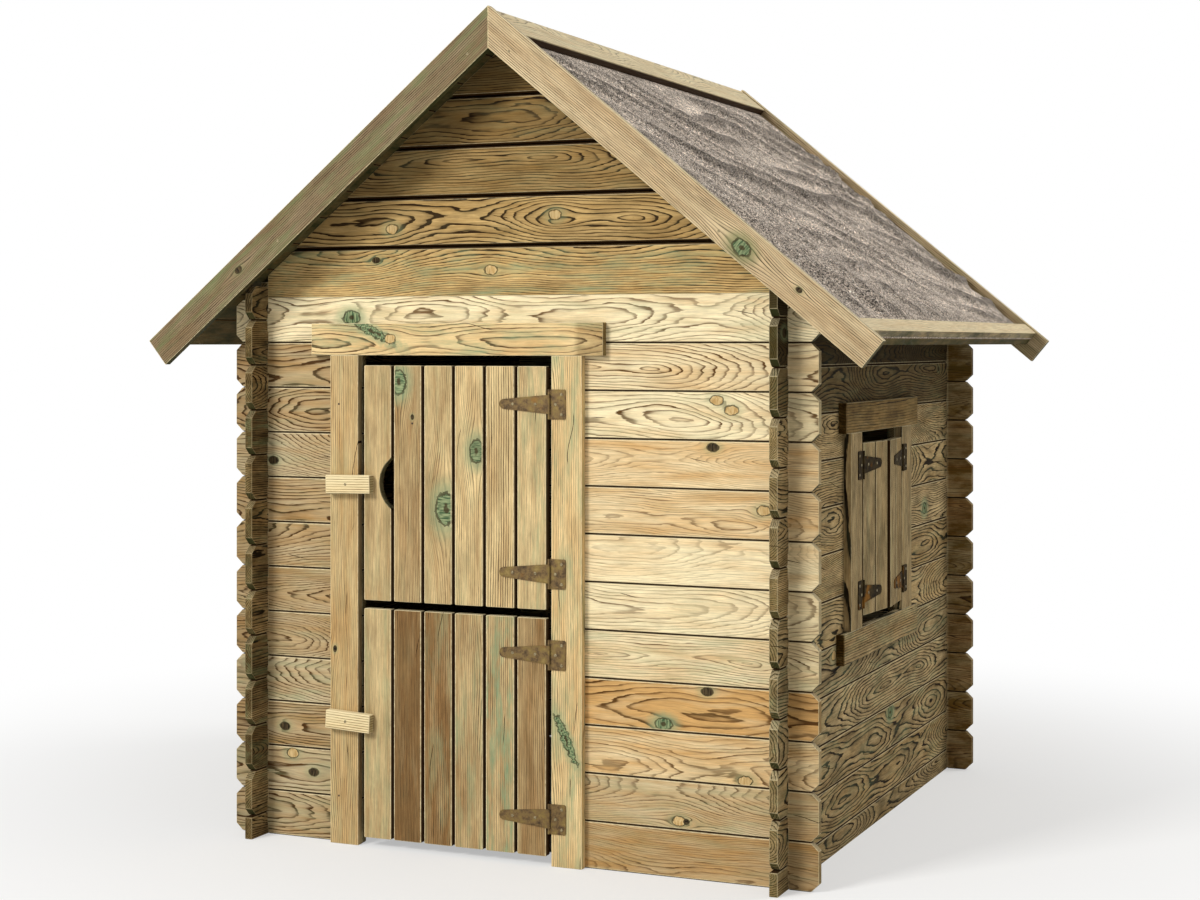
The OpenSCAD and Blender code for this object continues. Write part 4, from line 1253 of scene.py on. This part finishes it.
# %% Felt material
GRANULE = 2.3 * MM
CLUMP = 11 * MM
felt, t = new_material("roofing_felt_mineral")
spot = add(t, "TexCoord")["Object"]
grains = add(t, "TexVoronoi", spot, 1 / GRANULE)
pick = add(t, "SeparateColor", grains["Color"])
tones = add(t, "ValToRGB", pick)
set_stops(tones, [(0, "#26221F"), (0.2, "#665D55"), (0.45, "#A79A8D"), (0.7, "#C6B7A6"), (0.87, "#E2D0BC"),
                  (1, "#FFF4E6")])
clouds = add(t, "TexNoise", spot, 5.0, 5.0, 0.65)
cloud = add(t, "MapRange", clouds, *GREY, 0.72, 1.18)
clumps = add(t, "TexNoise", spot, 1 / CLUMP, 3.0)
clump = add(t, "MapRange", clumps, *GREY, 0.7, 1.24)
# Painted light and shade: sides of the wrinkles that face up the slope are lighter, those that face down it
# darker
fold = add(t, "Attribute fold")["Fac"]
fold_light_and_shade = add(t, "MapRange", fold, 0.04, 0.92, 1.6, 0.6)
folded = add(t, "Math MULTIPLY", cloud, fold_light_and_shade)
both = add(t, "Math MULTIPLY", folded, clump)
mixed = add(t, "VectorMath SCALE", tones, both)
bump = add(t, "Bump", 0.7, -0.8 * MM, None, grains["Distance"])
shade(t, Base_Color=mixed, Normal=bump, Roughness=0.92, Specular_IOR_Level=0.2)
print("felt:", len(t.nodes), "nodes")

# %% Laying the felt
felt_sheet("right", 1, 3.0)
felt_sheet("left", -1, 11.0)

# %% [markdown]
# ## The hinges
# T-hinges pressed from 2 mm sheet steel with a bronze passivation that has gone brown and olive in the
# weather. A line is pressed in 2 mm inside every edge to stiffen the sheet. A flat cut-out would lose
# that line and the barrel, so each leaf is an outline with its edges rounded, the line pressed in by two
# insets, and the knuckles turned round the pin.

# %% One pressed sheet
strap_len = 116 * MM
strap_h = 41 * MM
strap_tip_r = 10.5 * MM
plate_w = 38 * MM
plate_h = 63 * MM
corner_r = 4 * MM
knuckle_r = 3 * MM
pin_r = 1.5 * MM
strap_half = strap_h / 2 - 0.5 * MM


def pressed_sheet(bm, outline):
    """Adds a sheet with this outline in x and z, its back at y = 0, with a line pressed into its face."""
    face, made = prism(bm, outline, -steel_t, 0)
    bmesh.ops.recalc_face_normals(bm, faces=made)
    for thickness, depth in ((0.5, 0.0), (1.6, 0.0), (0.5, -0.5), (0.5, 0.5)):
        bmesh.ops.inset_region(bm, faces=made[:1], thickness=thickness * MM, depth=depth * MM)
    for v in face:
        v.co.y += 0.4 * MM


def turned(bm, radius, z0, z1, sides=20):
    """Adds a short cylinder upright on the pin, its rims eased."""
    made = bmesh.ops.create_cone(bm, cap_ends=True, segments=sides, radius1=radius, radius2=radius,
                                 depth=z1 - z0, matrix=Matrix.Translation((0, -steel_t, (z0 + z1) / 2)))
    rims = {e for v in made["verts"] for e in v.link_edges if e.calc_face_angle(0) > 1.0}
    bmesh.ops.bevel(bm, geom=list(rims), offset=0.3 * MM, segments=1, affect="EDGES")


def arc(x, z, radius, start, end, steps=8):
    """Points round a corner from one angle to another, in degrees."""
    return [(x + radius * math.cos(math.radians(a)), z + radius * math.sin(math.radians(a)))
            for a in np.linspace(start, end, steps)]


def strap_mesh(bm, gap):
    """The long leaf, to the left of the pin, with the middle knuckle."""
    high, low = strap_half, -strap_half
    tip = arc(strap_tip_r - strap_len, 0, strap_tip_r, 90, 270, 14)
    pressed_sheet(bm, [(-gap / 2, high), *tip, (-gap / 2, low)])
    pressed_sheet(bm, [(0, high), (-gap / 2, high), (-gap / 2, low), (0, low)])
    turned(bm, knuckle_r, low, high)


def plate_mesh(bm):
    """The short leaf, to the right of the pin, with the two outer knuckles and the pin's heads."""
    half = plate_h / 2
    clear = knuckle_r + 1 * MM
    pressed_sheet(bm, [(clear, half), (clear, -half),
                       *arc(plate_w - corner_r, corner_r - half, corner_r, -90, 0),
                       *arc(plate_w - corner_r, half - corner_r, corner_r, 0, 90)])
    for z0, z1 in ((-half, -strap_h / 2), (strap_h / 2, half)):
        pressed_sheet(bm, [(0, z1), (0, z0), (clear, z0), (clear, z1)])
        turned(bm, knuckle_r, z0, z1)
    turned(bm, pin_r, -half, half, 12)

# %% Bronzed steel
# Passivated steel is a thin brown film on metal: dull, mottled, and only here and there still shiny.
MOTTLE = 16 * MM
RUST_PATCH = 45 * MM
PIT = 2.2 * MM


def passivated(name, tones_of, rust_from, metallic, gloss, rough, low=0.0):
    """Steel under a brown film in these five tones, dark to light, with rust where a slow noise is high
    and, by low, on the lower hinges, where the rain runs."""
    material, t = new_material(name)
    spot = add(t, "TexCoord")["Object"]
    film = add(t, "TexNoise", spot, 1 / MOTTLE, 5.0, 0.7)
    tones = add(t, "ValToRGB", film)
    set_stops(tones, list(zip((0.28, 0.42, 0.5, 0.6, 0.74), tones_of)))
    rust = add(t, "TexNoise", spot, 1 / RUST_PATCH, 4.0)
    height = add(t, "SeparateXYZ", spot)["Z"]
    running = add(t, "MapRange", height, 0.6, 0.9, low, -low)
    more_rust = add(t, "Math ADD", rust, running)
    rusty = add(t, "MapRange", more_rust, rust_from, rust_from + 0.12, None, 0.8)
    coat = add(t, "Mix RGBA", rusty, tones, "#86591F")
    rub = add(t, "MapRange", film, *GREY, rough + 0.1, rough)
    pits = add(t, "TexNoise", spot, 1 / PIT, 2.0)
    bump = add(t, "Bump", 0.5, 0.2 * MM, None, pits)
    shade(t, Base_Color=coat, Roughness=rub, Normal=bump, Metallic=metallic, Specular_IOR_Level=gloss)
    return material


bronzed = passivated("hinge_steel_bronzed", ("#2C2215", "#5E4A2E", "#745D39", "#7E6939", "#947D4B"), 0.62,
                     metallic=0.35, gloss=0.3, rough=0.5)
# Those of the shutters have gone darker, and rustier
browned = passivated("hinge_steel_browned", ("#15100A", "#241C10", "#302614", "#3B3019", "#4C3F22"), 0.6,
                     metallic=0.1, gloss=0.06, rough=0.75, low=0.07)
print("steel coats:", bronzed.name, browned.name)

# %% Hanging the hinges
def hung(node, body, places, steel, draw, *more):
    """One mesh of hinge leaves, each drawn by draw and stood at its matrix, that replaces a node."""
    name = node + "_steel"
    bm = bmesh.new()
    for where in places:
        one = bmesh.new()
        draw(one, *more)
        one.transform(where)
        part = to_mesh("leaf", one)
        bm.from_mesh(part)
        bpy.data.meshes.remove(part)
    mesh = to_mesh(name, bm)
    mesh.materials.append(steel)
    keep(into_scene(name, mesh), body, node)


def screw_in(body, places, spots):
    """Notes a screw at each (x, z) spot of the hinge leaves at these places."""
    for where in places:
        out = -Vector(where.col[1][:3])
        screws.extend((body, where @ Vector((x, -steel_t, z)), out) for x, z in spots)


screws = []
hinge_gap = 8 * MM
STRAP_HOLES = ((-32 * MM, 0.0), (-85 * MM, 0.0))
PLATE_HOLES = ((14.5 * MM, 0.0), (28.5 * MM, -21 * MM), (28.5 * MM, 21 * MM))
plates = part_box("door_hinge_plates")
pin_x = plates[HIGH].x - plate_w
plate_places = []
for body, node in (("upper_leaf", "upper_door_straps"), ("lower_leaf", "lower_door_straps")):
    low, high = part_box(node)
    heights = (low.z + strap_half, high.z - strap_half)
    places = [stand((pin_x, upper[LOW].y, z), EAST, UP) for z in heights]
    plate_places += [stand((pin_x, plates[HIGH].y, z), EAST, UP) for z in heights]
    hung(node, body, places, bronzed, strap_mesh, hinge_gap)
    screw_in(body, places, STRAP_HOLES)
hung("door_hinge_plates", "house", plate_places, bronzed, plate_mesh)
screw_in("house", plate_places, PLATE_HOLES)

# %% Hinges of the shutters
low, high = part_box("shutter_straps")
strap_places = []
plate_places = []
for node, pin_y, ajar, side in SHUTTERS:
    reach = ajar_way(ajar, side)
    turn = Vector((0, 0, -side))
    for z in (low.z + strap_half, high.z - strap_half):
        pin = Vector((trim_face + steel_t, pin_y, z))
        strap_places.append(stand(pin + turn.cross(-reach) * steel_t, -reach, turn))
        plate_places.append(stand((trim_face, pin_y, z), (0, -side, 0), turn))
hung("shutter_straps", "house", strap_places, browned, strap_mesh, shutter_gap)
hung("shutter_hinge_plates", "house", plate_places, browned, plate_mesh)
screw_in("house", strap_places, STRAP_HOLES)
screw_in("house", plate_places, PLATE_HOLES)
print("screws in the hinges:", len(screws))

# %% [markdown]
# ## Screws and nails by Geometry Nodes
# The same head sits in dozens of places, each turned as it happened to stop. The tree takes guide points
# with the way each head looks, puts a head on every point, spins it by luck, and realizes the result.

# %% Two heads
def head(name, radius, sides, insets, crossed=False):
    """A coin 0.6 mm thick, half sunk, whose upper face is drawn in by (width, rise) steps."""
    bm = bmesh.new()
    bmesh.ops.create_cone(bm, cap_ends=True, segments=sides, radius1=radius, radius2=radius, depth=0.6 * MM)
    disc = max(bm.faces, key=lambda f: f.calc_center_median().z)
    for width, rise in insets:
        bmesh.ops.inset_region(bm, faces=[disc], thickness=width * MM, depth=rise * MM)
    if crossed:
        for v in disc.verts:
            narrow = 0.45 + 0.75 * abs(math.cos(2 * math.atan2(v.co.y, v.co.x))) ** 3
            v.co.x *= narrow
            v.co.y *= narrow
    return into_scene(name, to_mesh(name, bm))


# A flat countersunk head with a cross driven into it, and a low round one, hammered nearly flush
screw_head = head("screw_head", 3.1 * MM, 16, ((0.5, 0.2), (0.9, 0.05), (0.45, -0.5)), crossed=True)
nail_head = head("nail_head", 2.3 * MM, 10, ((0.5, 0.2), (0.8, 0.1)))
print("faces of a screw head and a nail head:", len(screw_head.data.polygons), len(nail_head.data.polygons))

# %% The tree that drives them in
t = new_tree("Heads on points", Head="Object", Seed="Int", Metal="Material")
given = add(t, "NodeGroupInput")
aim = add(t, "GeometryNodeInputNamedAttribute FLOAT_VECTOR", "aim")
turned_out = add(t, "FunctionNodeAlignRotationToVector", None, None, aim, axis="Z")
spin = add(t, "FunctionNodeRandomValue FLOAT", named={"Seed": given["Seed"]})
angle = add(t, "Math MULTIPLY", spin, 2 * math.pi)
about = add(t, "CombineXYZ", None, None, angle)
spun = add(t, "FunctionNodeRotateRotation", turned_out, about, rotation_space="LOCAL")
shape = add(t, "GeometryNodeObjectInfo", given["Head"])["Geometry"]
set_in = add(t, "GeometryNodeInstanceOnPoints", given["Geometry"], None, shape, named={"Rotation": spun})
solid = add(t, "GeometryNodeRealizeInstances", set_in)
metal = add(t, "GeometryNodeSetMaterial", solid, None, given["Metal"])
add(t, "NodeGroupOutput", metal)
head_tree = t


def drive_in(name, head, heads, metal):
    """Makes one mesh of heads for each body from (body, place, way out) rows."""
    for body in sorted({row[0] for row in heads}):
        rows = [row for row in heads if row[0] == body]
        guide = bpy.data.meshes.new("guide")
        guide.from_pydata([tuple(place) for _, place, _ in rows], [], [])
        ways = guide.attributes.new("aim", "FLOAT_VECTOR", "POINT")
        ways.data.foreach_set("vector", np.array([tuple(way) for _, _, way in rows], np.float32).ravel())
        piece = run_tree(name + "_" + body, guide, head_tree, {"Head": head, "Seed": 7, "Metal": metal})
        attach(piece, body)
        print(piece.name, len(rows), "heads,", len(piece.data.polygons), "faces")
    bpy.data.objects.remove(head)

# %% Zinc on the screws, rust on the nails
HEAD_PATCH = 3 * MM


def head_metal(name, bright, dull, metallic):
    """Small ironware in two tones, in patches smaller than a head."""
    material, t = new_material(name)
    spot = add(t, "TexCoord")["Object"]
    spots = add(t, "TexNoise", spot, 1 / HEAD_PATCH, 3.0)
    share = add(t, "MapRange", spots, *GREY)
    coat = add(t, "Mix RGBA", share, bright, dull)
    rough = add(t, "MapRange", spots, *GREY, 0.3, 0.6)
    shade(t, Base_Color=coat, Roughness=rough, Metallic=metallic)
    return material


zinc = head_metal("screw_zinc_plated", "#A89A76", "#5E5238", 0.6)
rusty_iron = head_metal("nail_iron_rusted", "#4A3626", "#2B2119", 0.4)
print("metals of the heads:", zinc.name, rusty_iron.name)

# %% Where the nails and the other screws are
JAMB_NAIL_ZS = (0.105, 0.965)
LEAF_NAIL_AT = (-0.225, 0.925)
DOWN_THE_BARGE = (0.1, 0.7)
BELOW_THE_RIM = 46 * MM
jamb_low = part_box("door_jamb_left")[LOW]
nails = [("house", Vector((x, jamb_low.y, z)), SOUTH)
         for x in (jamb_low.x + 22 * MM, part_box("door_jamb_right")[HIGH].x - 40 * MM) for z in JAMB_NAIL_ZS]
nails.append(("upper_leaf", Vector((LEAF_NAIL_AT[0], upper[LOW].y, LEAF_NAIL_AT[1])), SOUTH))
for side in (1, -1):
    for s in DOWN_THE_BARGE:
        x = side * (slope_cos * s - slope_sin * BELOW_THE_RIM)
        z = ridge_z - slope_sin * s - slope_cos * BELOW_THE_RIM
        for y, way in ((barge_front_y, SOUTH), (barge_rear_y, NORTH)):
            screws.append(("house", Vector((x, y, z)), way))
for node, body in (("upper_turn_button", "upper_leaf"), ("lower_turn_button", "lower_leaf")):
    low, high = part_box(node)
    middle = (low + high) / 2
    screws.append((body, Vector((middle.x - 5 * MM, low.y, middle.z)), SOUTH))
drive_in("screw_heads", screw_head, screws, zinc)
drive_in("nail_heads", nail_head, nails, rusty_iron)

# %% [markdown]
# ## Camera, light and floor
# A pale floor and plain soft light, at a level at which a colour renders about as it is written. White
# behind the house comes from the world as the camera sees it, never from more light.

# %% Camera
CAMERA_AT = (1.936, -4.690, 1.100)
TURN = 23.38
LENS = 62.57
RISE = -0.0896
view = bpy.data.cameras.new("camera")
view.sensor_width = 36
view.lens = LENS
view.shift_y = RISE
view.clip_end = 100
camera = into_scene("camera", view)
camera.location = CAMERA_AT
camera.rotation_euler = (math.radians(90), 0, math.radians(TURN))
bpy.context.scene.camera = camera
print("camera at", CAMERA_AT)

# %% World
world = bpy.data.worlds.new("studio")
bpy.context.scene.world = world
world.use_nodes = True
sky = world.node_tree
sky.nodes.clear()
rays = add(sky, "LightPath")
direct = add(sky, "Math ADD", rays["Is Camera Ray"], rays["Is Glossy Ray"], use_clamp=True)
soft = add(sky, "Background", (1, 1, 1, 1), 0.42)
white = add(sky, "Background", (1, 1, 1, 1), 1.0)
plain = add(sky, "MixShader", direct, soft, white)
add(sky, "OutputWorld", plain)
bpy.context.scene.view_settings.view_transform = "Standard"
print("world:", len(sky.nodes), "nodes")

# %% Lamps
AIM = Vector((0, 0, 0.8))


def lamp(name, at, size, power):
    """A soft square lamp, aimed at the middle of the house."""
    data = bpy.data.lights.new(name, "AREA")
    data.size = size
    data.energy = power
    thing = into_scene(name, data)
    thing.location = at
    thing.rotation_euler = (AIM - Vector(at)).to_track_quat("-Z", "Y").to_euler()


lamp("key", (-3.0, -7.0, 5.0), 2.4, 500)
lamp("fill_side", (5.0, 3.5, 5.5), 2.5, 210)
print("lamps:", [light.name for light in bpy.data.lights])

# %% Floor
# Pale and matt under the house, and as white as the background from a few metres out, so that no
# horizon shows. The whiteness is for the camera alone: it lights nothing, and there is none indoors.
FAR_OUT = 40
floor_mesh = bpy.data.meshes.new("floor")
corners = [(-FAR_OUT, -FAR_OUT, 0), (FAR_OUT, -FAR_OUT, 0), (FAR_OUT, FAR_OUT, 0), (-FAR_OUT, FAR_OUT, 0)]
floor_mesh.from_pydata(corners, [], [(0, 1, 2, 3)])
floor = into_scene("floor", floor_mesh)
floor_paint, t = new_material("studio_floor_matt")
matt = add(t, "BsdfPrincipled", "#F2F1EE", named={"Roughness": 0.95, "Specular IOR Level": 0.0})
spot = add(t, "TexCoord")["Object"]
out = add(t, "VectorMath LENGTH", spot)
away = add(t, "MapRange", out, 0.9, 2.6, 0.45, interpolation_type="SMOOTHSTEP")
sides = add(t, "VectorMath ABSOLUTE", spot)
x, y, _ = add(t, "SeparateXYZ", sides)
wider = add(t, "Math MAXIMUM", x, y)
outside = add(t, "Math GREATER_THAN", wider, 0.6)
shown = add(t, "Math MULTIPLY", outside, add(t, "LightPath")["Is Camera Ray"])
share = add(t, "Math MULTIPLY", away, shown)
glow = add(t, "Emission", (1, 1, 1, 1), 1.0)
paint = add(t, "MixShader", share, matt, glow)
add(t, "OutputMaterial", paint)
floor_mesh.materials.append(floor_paint)
